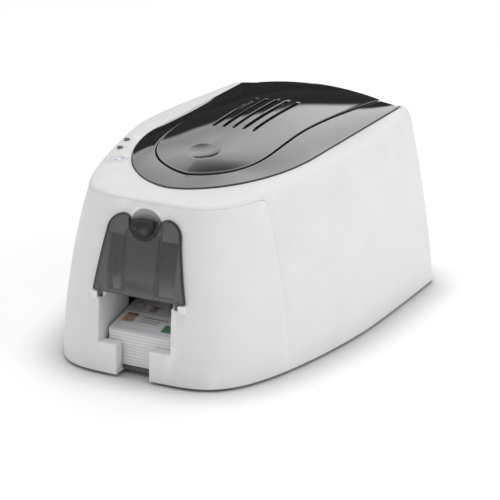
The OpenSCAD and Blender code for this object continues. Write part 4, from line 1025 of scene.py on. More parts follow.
class Bench:
    """Modelling moves with Blender's own operators."""

    @staticmethod
    def clear() -> None:
        """Nothing stays selected."""
        bpy.ops.object.select_all(action="DESELECT")

    @staticmethod
    def pick(piece: Piece, *others: Piece) -> None:
        """Selects these pieces alone, with the first one active.

        Args:
            piece: the piece that becomes active.
            others: more pieces to select.
        """
        Bench.clear()
        for one in (piece, *others):
            one.select_set(True)
        bpy.context.view_layer.objects.active = piece

    @staticmethod
    def settle(name: str) -> Piece:
        """Names the active piece and puts its place into its mesh.

        Args:
            name: the piece's name.

        Returns:
            The piece, unturned and unscaled at the origin.
        """
        piece = bpy.context.active_object
        piece.name = piece.data.name = name
        Bench.pick(piece)
        bpy.ops.object.transform_apply(location=True, rotation=True, scale=True)
        return piece

    @staticmethod
    def block(name: str, low: Sequence[float], high: Sequence[float]) -> Piece:
        """A block between two corners.

        Args:
            name: the piece's name.
            low: its lowest corner.
            high: its highest corner.

        Returns:
            The block.
        """
        low, high = Vector(low), Vector(high)
        Bench.clear()
        bpy.ops.mesh.primitive_cube_add(size=1, location=(low + high) / 2, scale=high - low)
        return Bench.settle(name)

    @staticmethod
    def rod(
        name: str, radius: float, start: Sequence[float], end: Sequence[float], sides: int
    ) -> Piece:
        """A round rod.

        Args:
            name: the piece's name.
            radius: its radius, in metres.
            start: the middle of one end.
            end: the middle of the other end.
            sides: how many sides its circle has.

        Returns:
            The rod.
        """
        start, end = Vector(start), Vector(end)
        Bench.clear()
        bpy.ops.mesh.primitive_cylinder_add(
            vertices=sides,
            radius=radius,
            depth=(end - start).length,
            location=(start + end) / 2,
            rotation=(end - start).to_track_quat("Z", "Y").to_euler(),
        )
        return Bench.settle(name)

    @staticmethod
    def sheet(
        name: str, across: int, along: int, place: Callable[[float, float], Sequence[float]]
    ) -> Piece:
        """A grid whose points are put where a form function says.

        Args:
            name: the piece's name.
            across: cells across, for u from 0 to 1.
            along: cells along, for v from 0 to 1.
            place: gives the point at u and v.

        Returns:
            The sheet, one skin thick.
        """
        Bench.clear()
        bpy.ops.mesh.primitive_grid_add(x_subdivisions=across, y_subdivisions=along, size=1)
        piece = Bench.settle(name)
        for vertex in piece.data.vertices:
            u = round((vertex.co.x + 0.5) * across) / across
            v = round((vertex.co.y + 0.5) * along) / along
            vertex.co = place(u, v)
        return piece

    @staticmethod
    def edit(piece: Piece, move: Callable[..., object], **settings: object) -> Piece:
        """Runs one edit-mode move on all of a piece.

        Args:
            piece: the piece.
            move: the edit-mode operator.
            settings: what the operator is given.

        Returns:
            The piece.
        """
        Bench.pick(piece)
        bpy.ops.object.mode_set(mode="EDIT")
        bpy.ops.mesh.select_all(action="SELECT")
        move(**settings)
        bpy.ops.object.mode_set(mode="OBJECT")
        return piece

    @staticmethod
    def upward(piece: Piece) -> Piece:
        """Turns an open sheet over if its faces look down."""
        tilt = sum(face.normal.z * face.area for face in piece.data.polygons)
        return Bench.edit(piece, bpy.ops.mesh.flip_normals) if tilt < 0 else piece

    @staticmethod
    def apply(piece: Piece, kind: str, **settings: object) -> Piece:
        """Adds a modifier with its settings and applies it.

        Args:
            piece: the piece.
            kind: the modifier's type.
            settings: the modifier's values.

        Returns:
            The piece.
        """
        Bench.pick(piece)
        modifier = piece.modifiers.new(kind.lower(), kind)
        for name, value in settings.items():
            setattr(modifier, name, value)
        bpy.ops.object.modifier_apply(modifier=modifier.name)
        return piece

    @staticmethod
    def bevel(
        piece: Piece, width: float, segments: int, angle: float, **settings: object
    ) -> Piece:
        """Rounds the edges that are sharper than an angle in degrees."""
        limits = {"limit_method": "ANGLE", "angle_limit": math.radians(angle)}
        return Bench.apply(piece, "BEVEL", width=width, segments=segments, **limits, **settings)

    @staticmethod
    def cut(piece: Piece, cutter: Piece) -> Piece:
        """Takes a cutter's form out of a piece and drops the cutter.

        Args:
            piece: the piece.
            cutter: the form to take out.

        Returns:
            The piece.
        """
        Bench.apply(piece, "BOOLEAN", operation="DIFFERENCE", object=cutter, solver="EXACT")
        bpy.data.objects.remove(cutter)
        return piece

    @staticmethod
    def join(name: str, pieces: Sequence[Piece]) -> Piece:
        """Makes one piece of several.

        Args:
            name: the joined piece's name.
            pieces: what is joined.

        Returns:
            The joined piece.
        """
        Bench.pick(*pieces)
        bpy.ops.object.join()
        return Bench.settle(name)

    @staticmethod
    def smooth(piece: Piece, angle: float) -> Piece:
        """Shades smooth across edges up to an angle in degrees.

        Args:
            piece: the piece.
            angle: the sharpest edge that is shaded smooth.

        Returns:
            The piece.
        """
        Bench.pick(piece)
        bpy.ops.object.shade_smooth_by_angle(angle=math.radians(angle))
        return piece

    @staticmethod
    def copy_node(node: str, name: str) -> Piece:
        """A free copy of a CAD node's mesh, its loose triangles merged.

        Args:
            node: the CAD node.
            name: the copy's name.

        Returns:
            The copy.
        """
        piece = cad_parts[node].copy()
        piece.data = piece.data.copy()
        piece.parent = None
        piece.matrix_world = Matrix.Identity(4)
        for key in list(piece.keys()):
            del piece[key]
        piece.name = piece.data.name = name
        bpy.context.collection.objects.link(piece)
        return Bench.edit(piece, bpy.ops.mesh.remove_doubles, threshold=0.000002)


@dataclass
class SubAssembly:
    """What every sub-assembly shares: the paint shop and how a piece is handed over."""

    paint: Paintshop
    made: list[str] = field(default_factory=list)

    def hand_over(
        self, piece: Piece, body: str, slot: str, material: Material, stands_for: Iterable[str] = ()
    ) -> Piece:
        """Dresses a finished piece and ties it to its body.

        Args:
            piece: the finished mesh.
            body: the CAD body it moves with.
            slot: the record's slot that its finish comes from; not used.
            material: its material.
            stands_for: CAD nodes that it replaces.

        Returns:
            The piece.
        """
        piece.data.materials.clear()
        piece.data.materials.append(material)
        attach(piece, body)
        if stands_for:
            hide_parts(*stands_for)
        self.made.append(piece.name)
        LOG.info("%s rides on %s", piece.name, body)
        return piece

    def dress(self, finishes: dict[Finish, Sequence[str]]) -> None:
        """Gives CAD nodes that stay as they are their finishes."""
        for finish, nodes in finishes.items():
            self.coat(nodes, self.paint.material(finish))

    def coat(self, nodes: Iterable[str], material: Material) -> None:
        """Puts one material on some CAD nodes.

        Args:
            nodes: the nodes' names.
            material: what they are dressed in.
        """
        for node in nodes:
            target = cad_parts[node]
            target.data.materials.clear()
            target.data.materials.append(material)
            self.made.append(node)
            LOG.info("%s is %s", node, material.name)


# ---- body ----------------------------------------------------------------------------------


@dataclass
class Body(SubAssembly):
    """The white shells, rear panel, base and feet, with sizes in metres."""

    edge: float = 0.35 * MM
    recess: Point = mm(0, -141.56, 115)
    recess_r: float = 15.2 * MM
    # The grey in the finger recess is painted shade on the white bezel.
    recess_shade_grey: Colour = (0.43, 0.43, 0.435)
    cap_inset: float = 0.6 * MM
    cap_depth: float = 5.8 * MM
    cap_round: float = 0.7 * MM
    stem_r: float = 2.0 * MM
    stem_top: float = 5.0 * MM
    skirt: Spot = mm(5.3, 0.9)
    lens_round: float = 0.5 * MM
    marks: TopMarks = TopMarks()

    def build(self) -> None:
        """Makes the shells from the CAD forms, with softened edges."""
        paint = self.paint
        # The bezel's material paints shade into its finger recess.
        shade_painted_bezel = paint.shell_with_painted_recess_shade(self.recess, self.recess_r, self.recess_shade_grey)
        self.skin("front_bezel", "bezel_shell", shade_painted_bezel)
        self.skin("housing", "housing_shell", paint.marked_shell(self.marks))
        self.skin("rear_panel", "rear_cover", paint.material(WHITE_SHELL))
        self.dress(
            {
                WHITE_INNER: ("base_pan",),
                FOOT_RUBBER: ("rubber_feet",),
                SCREW_STEEL: ("frame_screws",),
            }
        )
        self.button()
        self.lamps()

    def skin(self, node: str, name: str, material: Material) -> None:
        """A smooth, softly edged piece that stands for a CAD shell."""
        piece = Bench.smooth(Bench.bevel(Bench.copy_node(node, name), self.edge, 2, 50), 40)
        self.hand_over(piece, "chassis", "shell_white", material, [node])

    def button(self) -> None:
        """The round control button with its lit ring."""
        low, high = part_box("control_button")
        x, y = self.marks.centre[:2]
        radius, top = (high.x - low.x) / 2, high.z

        def round_part(name: str, r: float, foot: float, head: float, sides: int) -> Piece:
            """One upright rod of the button, between two heights."""
            return Bench.rod(name, r, (x, y, foot), (x, y, head), sides)

        cap = round_part("button_cap", radius - self.cap_inset, top - self.cap_depth, top, 64)
        Bench.bevel(cap, self.cap_round, 4, 60)
        stem = round_part("button_stem", self.stem_r, low.z, top - self.stem_top, 24)
        foot, head = self.skirt
        skirt = round_part("button_skirt", radius, top - foot, top - head, 64)
        piece = Bench.smooth(Bench.join("control_button_cap", [cap, stem, skirt]), 35)
        material = self.paint.button(self.marks)
        self.hand_over(piece, "control_button", "button_lilac", material, ["control_button"])

    def lamps(self) -> None:
        """The two small dark lamp lenses."""
        piece = Bench.bevel(Bench.copy_node("status_lights", "lamp_lenses"), self.lens_round, 3, 50)
        grey = self.paint.material(LAMP_GREY)
        self.hand_over(Bench.smooth(piece, 50), "chassis", "lamp_grey", grey, ["status_lights"])


# ---- lid -----------------------------------------------------------------------------------


@dataclass(frozen=True)
class Drop:
    """A drop-shaped outline: a rounded nose and straight sides behind it.

    A side power of 2 with a tip power of 2 gives an ellipse. A lower side power draws the
    sides in, and a higher tip power makes the tip blunter.
    """

    half: float
    nose: float
    tip: float
    side_power: float
    tip_power: float
    flare: float = 0.0

    def point(self, k: float, inset: float, share: float, rear_y: float) -> Spot:
        """A point of the outline.

        Args:
            k: 0 at the front tip and 1 at the rear.
            inset: how far inside the outline the point lies.
            share: the value of k where the nose ends.
            rear_y: where the sides end.

        Returns:
            Its distance from the middle and its Y.
        """
        start = self.nose - self.tip
        if k <= share:
            turn = k / share * math.pi / 2
            s, c = math.sin(turn), max(0.0, math.cos(turn))
            x = (self.half - inset) * s ** (2 / self.side_power)
            return x, start - (self.nose - inset) * c ** (2 / self.tip_power)
        y = start + (rear_y - start) * (k - share) / (1 - share)
        return self.half - inset + self.flare * ((y - start) / 100) ** 2, y


@dataclass(frozen=True)
class Arch:
    """A long curve in Y and Z: fall, length and power in front of its crest and behind it."""

    crest_y: float
    crest_z: float
    front: Point
    rear: Point

    def height(self, y: float) -> float:
        """The curve's height at a place along the lid."""
        fall, length, power = self.front if y < self.crest_y else self.rear
        return self.crest_z - fall * (abs(y - self.crest_y) / length) ** power


@dataclass
class Lid(SubAssembly):
    """The gloss lid: its outer cover, the raised drop-shaped panel and the works below.

    Both skins are grids. Their columns run from the front tip to the rear on either side,
    and their rows climb a skirt, turn over a round edge and go on to the middle.
    """

    rim: Drop = Drop(70.0, 101.8, 104.2, 1.74, 2.0)
    rim_z: float = 140.3
    rim_drop: float = 5.6
    rim_up: float = 1.2
    rim_round: float = 0.3
    gap: float = 0.6
    rear_y: float = 137.5
    nose_share: float = 0.72
    skirt: float = 4.4
    swell: float = 0.05
    groove_round: float = 0.5
    panel: Drop = Drop(45.7, 75.2, 75.8, 1.47, 4.14, flare=3.6)
    panel_step: float = 1.2
    panel_skirt: float = 4.2
    panel_gap: float = 0.9
    step_length: float = 90.0
    edge: Arch = Arch(28.5, 151.2, (12.8, 104.3, 1.9), (6.2, 107.5, 1.8))
    crown: Arch = Arch(62.0, 156.6, (16.0, 137.8, 2.6), (6.3, 74.5, 2.0))
    crown_start: float = 40.0
    crown_join: float = -6.0
    crown_power: float = 2.1
    wall: float = 2.5
    skin: float = 2.3
    dimple_r: float = 15.0
    dimple_depth: float = 2.75
    dimple_y: float = -50.0
    dimple_soft: float = 0.4
    slots: int = 5
    slot_x: float = 1.0
    slot_pitch: float = 8.1
    slot_w: float = 3.0
    slot_len: float = 66.0
    slot_y: float = -5.0
    slot_stagger: float = 1.2
    slot_z: Spot = (140.0, 160.0)
    slot_round: float = 0.45
    post_r: float = 3.5
    post_z: float = 130.5
    post_sink: float = 1.0
    cover_posts: tuple[Spot, ...] = ((56, 0), (58, 60), (58, 100), (0, -84))
    panel_posts: tuple[Spot, ...] = ((22, -20), (34, 30), (36, 100))
    columns: int = 190
    cover_rows: int = 30
    panel_rows: int = 44
    skirt_rows: int = 2
    round_rows: int = 8
    deck_rows: int = 24
    groove_rows: int = 28

    def rim_at(self, k: float, inset: float) -> Spot:
        """A point of the lid's outline."""
        return self.rim.point(k, inset, self.nose_share, self.rear_y)

    def panel_at(self, k: float, inset: float) -> Spot:
        """A point of the raised panel's outline, on the same steps as the lid's."""
        return self.panel.point(k, inset, self.nose_share, self.rear_y)

    def rim_height(self, y: float) -> float:
        """Height of the lid opening's edge."""
        start = self.rim.nose - self.rim.tip
        return self.rim_z - self.rim_drop * max(0.0, (start - y) / self.rim.nose) ** 1.3

    def deck_height(self, y: float) -> float:
        """Height of the cover beside the raised panel, closest to it at the front."""
        t = max(0.0, min(1.0, (y + self.panel.tip) / self.step_length))
        return self.edge.height(y) - self.panel_step * (0.6 + 0.4 * t * t * (3 - 2 * t))

    def lip(
        self,
        outline: Callable[[float, float], Spot],
        k: float,
        inset: float,
        climb: Spot,
        row: float,
    ) -> Point:
        """A point of an upright skirt or of the quarter round over it.

        Args:
            outline: gives the edge's points.
            k: the place along the outline.
            inset: how far the skirt lies inside the outline.
            climb: the skirt's foot and the top of the round.
            row: the row of the grid, up to round_rows.

        Returns:
            The point, in millimetres.
        """
        foot, top = climb
        if row <= self.skirt_rows:
            x, y = outline(k, inset)
            return x, y, foot + (top - self.rim_round - foot) * row / self.skirt_rows
        turn = math.pi / 2 * (row - self.skirt_rows) / (self.round_rows - self.skirt_rows)
        x, y = outline(k, inset + self.rim_round * (1 - math.cos(turn)))
        return x, y, top - self.rim_round * (1 - math.sin(turn))

    def cover_row(self, k: float, row: float) -> Point:
        """A point of the right half of the cover's outer skin.

        Args:
            k: 0 at the front tip and 1 at the rear.
            row: the row of the grid, from the skirt to the groove round the panel.

        Returns:
            The point, in millimetres.
        """
        top = self.rim_height(self.rim_at(k, self.gap)[1]) + self.rim_up
        if row <= self.round_rows:
            return self.lip(self.rim_at, k, self.gap, (top - self.skirt, top), row)
        fillet = self.groove_round
        gx, gy = self.panel_at(k, -self.panel_gap - fillet)
        gz = self.deck_height(gy)
        if row <= self.deck_rows:
            s = (row - self.round_rows) / (self.deck_rows - self.round_rows)
            x, y = self.rim_at(k, self.gap + self.rim_round)
            rise = self.swell * (gz - top) * math.sin(math.pi * s)
            return x + (gx - x) * s, y + (gy - y) * s, top + (gz - top) * s + rise
        if row <= self.groove_rows:
            turn = math.pi / 2 * (row - self.deck_rows) / (self.groove_rows - self.deck_rows)
            gx, gy = self.panel_at(k, -self.panel_gap - fillet * (1 - math.sin(turn)))
            return gx, gy, gz - fillet * (1 - math.cos(turn))
        gx, gy = self.panel_at(k, -self.panel_gap)
        down = (row - self.groove_rows) / (self.cover_rows - self.groove_rows)
        return gx, gy, gz - fillet - (1.0 + self.wall) * down

    def panel_row(self, k: float, row: float) -> Point:
        """A point of the right half of the panel's outer skin, without the dimple.

        Args:
            k: 0 at the front tip and 1 at the rear.
            row: the row of the grid, from the skirt to the middle.

        Returns:
            The point, in millimetres.
        """
        edge = self.edge.height(self.panel_at(k, 0)[1])
        if row <= self.round_rows:
            return self.lip(self.panel_at, k, 0, (edge - self.panel_skirt, edge), row)
        s = (row - self.round_rows) / (self.panel_rows - self.round_rows)
        x, y = self.panel_at(k, self.rim_round)
        ahead = (self.crown_join - y) / (self.crown_join + self.panel.tip)
        spine = y + self.crown_start * max(0.0, ahead) ** 2
        height = 1 - (1 - s) ** self.crown_power
        return (
            x * (1 - s),
            y + (spine - y) * s,
            edge + (self.crown.height(spine) - edge) * height,
        )

    def cover_point(self, u: float, v: float) -> Point:
        """A point of the cover: u runs round the lid and v from skirt to groove."""
        x, y, z = self.cover_row(abs(2 * u - 1), v * self.cover_rows)
        return mm(-x if u < 0.5 else x, y, z)

    def panel_point(self, u: float, v: float) -> Point:
        """A point of the panel: u runs round the panel and v from skirt to middle.

        Args:
            u: 0 to 1, with the front tip at 0.5.
            v: 0 at the skirt's foot and 1 in the middle.

        Returns:
            The point, in metres.
        """
        row = v * self.panel_rows
        x, y, z = self.panel_row(abs(2 * u - 1), row)
        x = -x if u < 0.5 else x
        return mm(x, y, self.dimpled(x, y, z) if row > self.round_rows else z)

    def nose_height(self, y: float) -> float:
        """Height of the panel's middle between its tip and the front end of its crown line.

        Args:
            y: the place along the lid.

        Returns:
            The height, in millimetres.
        """
        tip = -self.panel.tip
        low, high = self.edge.height(tip), self.crown.height(tip + self.crown_start)
        part = max(0.0, 1 - (y - tip) / self.crown_start)
        return low + (high - low) * (1 - part**self.crown_power)

    def dimpled(self, x: float, y: float, z: float) -> float:
        """Lowers a height into the finger dimple, a bowl square to the slope with a soft lip.

        Args:
            x: the point's place across the lid.
            y: its place along the lid.
            z: its height on the plain panel.

        Returns:
            Its height with the dimple.
        """
        if math.hypot(x, y - self.dimple_y) > self.dimple_r * 1.5:
            return z
        ball = (self.dimple_r**2 + self.dimple_depth**2) / (2 * self.dimple_depth)
        ahead, behind = (self.nose_height(self.dimple_y + step) for step in (1, -1))
        lean = math.atan((ahead - behind) / 2)
        up = ball - self.dimple_depth
        off = y - (self.dimple_y - up * math.sin(lean))
        centre_z = self.nose_height(self.dimple_y) + up * math.cos(lean)
        bowl = centre_z - math.sqrt(ball**2 - x * x - off**2)
        mix = max(0.0, min(1.0, 0.5 + (z - bowl) / (2 * self.dimple_soft)))
        return z * (1 - mix) + bowl * mix - self.dimple_soft * mix * (1 - mix)

    def build(self) -> None:
        """Makes the cover and panel and dresses the works under them."""
        cover = Bench.sheet("lid_cover_gloss", self.columns, self.cover_rows, self.cover_point)
        Bench.upward(cover)
        Bench.apply(cover, "SOLIDIFY", thickness=self.skin * MM, offset=-1.0)
        Bench.smooth(cover, 40)
        cover = Bench.join("lid_cover_gloss", [cover, *self.posts(cover, self.cover_posts)])
        self.hand_over(cover, "lid", "lid_black", self.paint.material(LID_BLACK), ["lid_cover"])
        panel = Bench.sheet("lid_panel_gloss", self.columns, self.panel_rows, self.panel_point)
        Bench.edit(panel, bpy.ops.mesh.remove_doubles, threshold=0.00002)
        Bench.upward(panel)
        Bench.apply(panel, "SOLIDIFY", thickness=self.skin * MM, offset=-1.0)
        for cutter in self.slot_cutters():
            Bench.cut(panel, cutter)
        Bench.smooth(Bench.bevel(panel, self.slot_round * MM, 2, 55), 40)
        panel = Bench.join("lid_panel_gloss", [panel, *self.posts(panel, self.panel_posts)])
        dimpled = self.paint.dimpled_gloss(self.dimple_y * MM, self.dimple_r * MM)
        self.hand_over(panel, "lid", "lid_black", dimpled, ["lid_panel"])
        self.dress(
            {
                FRAME_GREY: ("lid_frame",),
                PLATE_STEEL: ("head_bracket",),
                SINK_ALUMINIUM: ("head_heatsink",),
                HEAD_GLAZE: ("print_head",),
            }
        )

    def posts(self, skin: Piece, places: Sequence[Spot]) -> list[Piece]:
        """The round posts under a skin, up to its inner face.

        Args:
            skin: the cover or the panel.
            places: X and Y of each post, whose mirror image is made too.

        Returns:
            The posts.
        """
        made = []
        for x, y in ((side * x, y) for x, y in places for side in ((1, -1) if x else (1,))):
            start = Vector(mm(x, y, 120))
            under = skin.ray_cast(start, Vector((0, 0, 1)))[1].z / MM
            top = mm(x, y, under + self.post_sink)
            made.append(Bench.rod("post", self.post_r * MM, mm(x, y, self.post_z), top, 24))
        return made

    def slot_cutters(self) -> list[Piece]:
        """One round-ended cutter for each vent slot.

        Returns:
            The cutters.
        """
        cutters = []
        low, high = self.slot_z
        for i in range(self.slots):
            x = self.slot_x + (i - (self.slots - 1) / 2) * self.slot_pitch
            y = self.slot_y + i * self.slot_stagger
            cutter = Bench.rod(
                "slot_cutter", self.slot_w / 2 * MM, mm(x, y, low), mm(x, y, high), 24
            )
            for vertex in cutter.data.vertices:
                if vertex.co.y > y * MM + 1e-6:
                    vertex.co.y += self.slot_len * MM
            cutters.append(cutter)
        return cutters


# ---- feeder and tray -----------------------------------------------------------------------


@dataclass
class Feeder(SubAssembly):
    """The clear door, the hopper and the blank cards behind it."""

    rib_x: tuple[float, ...] = (-14.0, 14.0)
    rib_half: float = 0.55
    rib_low: float = 66.5
    rib_high: float = 112.0
    rib_rows: int = 10
    rib_off: float = 1.2
    rib_depth: float = 1.1
    door_round: float = 0.9 * MM
    facing: float = 0.86
    dish: Point = mm(0, -144.1, 119)
    dish_r: float = 13.3 * MM
    dish_top: float = 119.4 * MM
    card_foot: Point = (0.0, -141.0, 65.1)
    card_count: int = 12
    card_seed: int = 11

    def build(self) -> None:
        """Makes the door with its ribs and the stack of blank cards."""
        paint = self.paint
        door = Bench.copy_node("feeder_door", "door_clear")
        smoke = paint.door(DoorLook())
        self.hand_over(door, "feeder_door", "door_smoke", smoke, ["feeder_door"])
        edge, dish = 1, 2
        for finish in (DOOR_EDGE, DOOR_DISH_SHADE):
            door.data.materials.append(paint.material(finish))
        Bench.smooth(Bench.bevel(door, self.door_round, 3, 50, material=edge), 40)
        centre = Vector(self.dish)
        # The dish's faces take the darker copy of the smoke, which paints the finger scoop's shade.
        for face in door.data.polygons:
            if (face.center - centre).length < self.dish_r and face.center.z < self.dish_top:
                face.material_index = dish
            elif abs(face.normal.y) < self.facing:
                face.material_index = edge
        self.hand_over(self.ribs(door), "feeder_door", "door_smoke", paint.material(DOOR_RIB))
        stack = CardStack(self.card_count, self.card_foot, 0.0, self.card_seed)
        cards, white = stack.build("blank_card_stack"), paint.material(CARD_WHITE)
        self.hand_over(cards, "chassis", "card_white", white, ["blank_cards"])
        self.dress({HOPPER_GREY: ("feeder_hopper",)})

    def ribs(self, door: Piece) -> Piece:
        """Two upright ribs that follow the door's inner face.

        Args:
            door: the door, whose inner face sets their curve.

        Returns:
            The ribs as one piece.
        """
        rows, made = self.rib_rows, []
        rise = (self.rib_high - self.rib_low) / rows
        for x in self.rib_x:
            starts = [Vector(mm(x, 0, self.rib_low + rise * i)) for i in range(rows + 1)]
            faces = [door.ray_cast(start, Vector((0, -1, 0)))[1].y for start in starts]
            rib = Bench.block("rib", mm(x - self.rib_half, -1, 0), mm(x + self.rib_half, 1, 1))
            Bench.edit(rib, bpy.ops.mesh.subdivide, number_cuts=rows - 1)
            for vertex in rib.data.vertices:
                at = vertex.co.z / MM * rows
                i = min(rows - 1, int(at))
                face = faces[i] + (faces[i + 1] - faces[i]) * (at - i)
                vertex.co.z = (self.rib_low + rise * at) * MM
                vertex.co.y = face + self.rib_off * MM + vertex.co.y * self.rib_depth
            made.append(rib)
        return Bench.smooth(Bench.join("door_ribs", made), 40)


@dataclass
class CardStack:
    """A stack of loose plastic cards, each a little out of line."""

    count: int
    foot: Point
    tilt: float
    seed: int
    width: float = 54.0
    length: float = 85.6
    thick: float = 0.76
    air: float = 0.03
    corner: float = 3.18
    shift: float = 0.22
    slip: float = 0.5
    turn: float = 0.1
    rim: float = 0.12

    def card(self) -> Piece:
        """One flat card with round corners and broken edges.

        Returns:
            The card, which lies on the ground.
        """
        low = mm(-self.width / 2, 0, self.air)
        piece = Bench.block("card", low, mm(self.width / 2, self.length, self.thick - self.air))
        Bench.pick(piece)
        bpy.ops.object.mode_set(mode="EDIT")
        bpy.ops.mesh.select_mode(type="EDGE")
        bpy.ops.mesh.select_all(action="DESELECT")
        bpy.ops.object.mode_set(mode="OBJECT")
        for edge in piece.data.edges:
            a, b = (piece.data.vertices[i].co for i in edge.vertices)
            edge.select = abs(a.z - b.z) > self.thick / 2 * MM
        bpy.ops.object.mode_set(mode="EDIT")
        bpy.ops.mesh.bevel(offset=self.corner * MM, segments=6, affect="EDGES")
        bpy.ops.object.mode_set(mode="OBJECT")
        return Bench.bevel(piece, self.rim * MM, 1, 60)

    def build(self, name: str) -> Piece:
        """Lays copies of the card on each other.

        Args:
            name: the stack's name.

        Returns:
            The stack as one piece.
        """
        draw = random.Random(self.seed)
        model, cards = self.card(), []
        lean = Matrix.Rotation(math.radians(self.tilt), 4, "X")
        lift = self.thick / math.cos(math.radians(self.tilt))
        for i in range(self.count):
            one = model.copy()
            one.data = model.data.copy()
            bpy.context.collection.objects.link(one)
            twist = math.radians(draw.uniform(-self.turn, self.turn))
            x = self.foot[0] + draw.uniform(-self.shift, self.shift)
            y = self.foot[1] + self.slip * draw.random() ** 2
            spot = mm(x, y, self.foot[2] + i * lift)
            one.data.transform(Matrix.Translation(spot) @ lean @ Matrix.Rotation(twist, 4, "Z"))
            cards.append(one)
        bpy.data.objects.remove(model)
        return Bench.smooth(Bench.join(name, cards), 50)


@dataclass
class Output(SubAssembly):
    """The output tray and the printed cards in it."""

    card_foot: Point = (-4.5, -139.5, 6.6)
    card_tilt: float = 13.0
    card_count: int = 33
    card_seed: int = 5

    def build(self) -> None:
        """Makes the printed stack and dresses the tray."""
        stack = CardStack(self.card_count, self.card_foot, self.card_tilt, self.card_seed)
        art = self.paint.printed_card(CardArt())
        cards = stack.build("printed_card_stack")
        self.hand_over(cards, "chassis", "card_white", art, ["printed_cards"])
        self.dress({TRAY_GREY: ("output_tray",)})


# ---- works inside --------------------------------------------------------------------------


@dataclass
class Works(SubAssembly):
    """Side plates, rollers, gears, motors, ribbon, board and sockets."""

    roller_half: float = 27.0 * MM
    motor_face: float = 60.2 * MM

    def build(self) -> None:
        """Dresses every CAD node of the mechanism."""
        rollers = ("feed", "front_drive", "platen", "rear_drive", "front_pinch", "rear_pinch")
        coats = (
            ([f"{n}_roller" for n in rollers], "roller", ROLLER_RUBBER, self.roller_half),
            (["cleaning_roller"], "cleaner", CLEANER_BLUE, self.roller_half),
            (["motor"], "motor", MOTOR_BLACK, self.motor_face),
            (["ribbon_motor"], "ribbon_motor", MOTOR_BLACK, self.motor_face),
        )
        for nodes, name, finish, half in coats:
            self.coat(nodes, self.paint.two_part(f"{name}_and_shaft", finish, BAR_STEEL, half))
        self.coat(["ribbon_film"], self.paint.ribbon_panels())
        self.dress(
            {
                GEAR_IVORY: [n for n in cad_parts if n.endswith("_gear")],
                PLATE_STEEL: ("left_plate", "right_plate"),
                BAR_STEEL: ("cross_bars", "idler_studs"),
                FRAME_GREY: ("card_guide",),
                BRASS: ("motor_pinion", "ribbon_pinion"),
                CORE_WHITE: ("supply_core", "takeup_core"),
                RIBBON_DARK: ("supply_roll",),
                RIBBON_USED: ("takeup_roll",),
                BOARD_GREEN: ("circuit_board",),
                CHIP_BLACK: ("board_parts", "card_sensor"),
                PORT_STEEL: ("usb_port",),
                INLET_BLACK: ("power_inlet",),
            }
        )


# ---- studio --------------------------------------------------------------------------------


@dataclass(frozen=True)
class Lamp:
    """One square area lamp, in metres and watts."""

    name: str
    place: Point
    size: float
    power: float


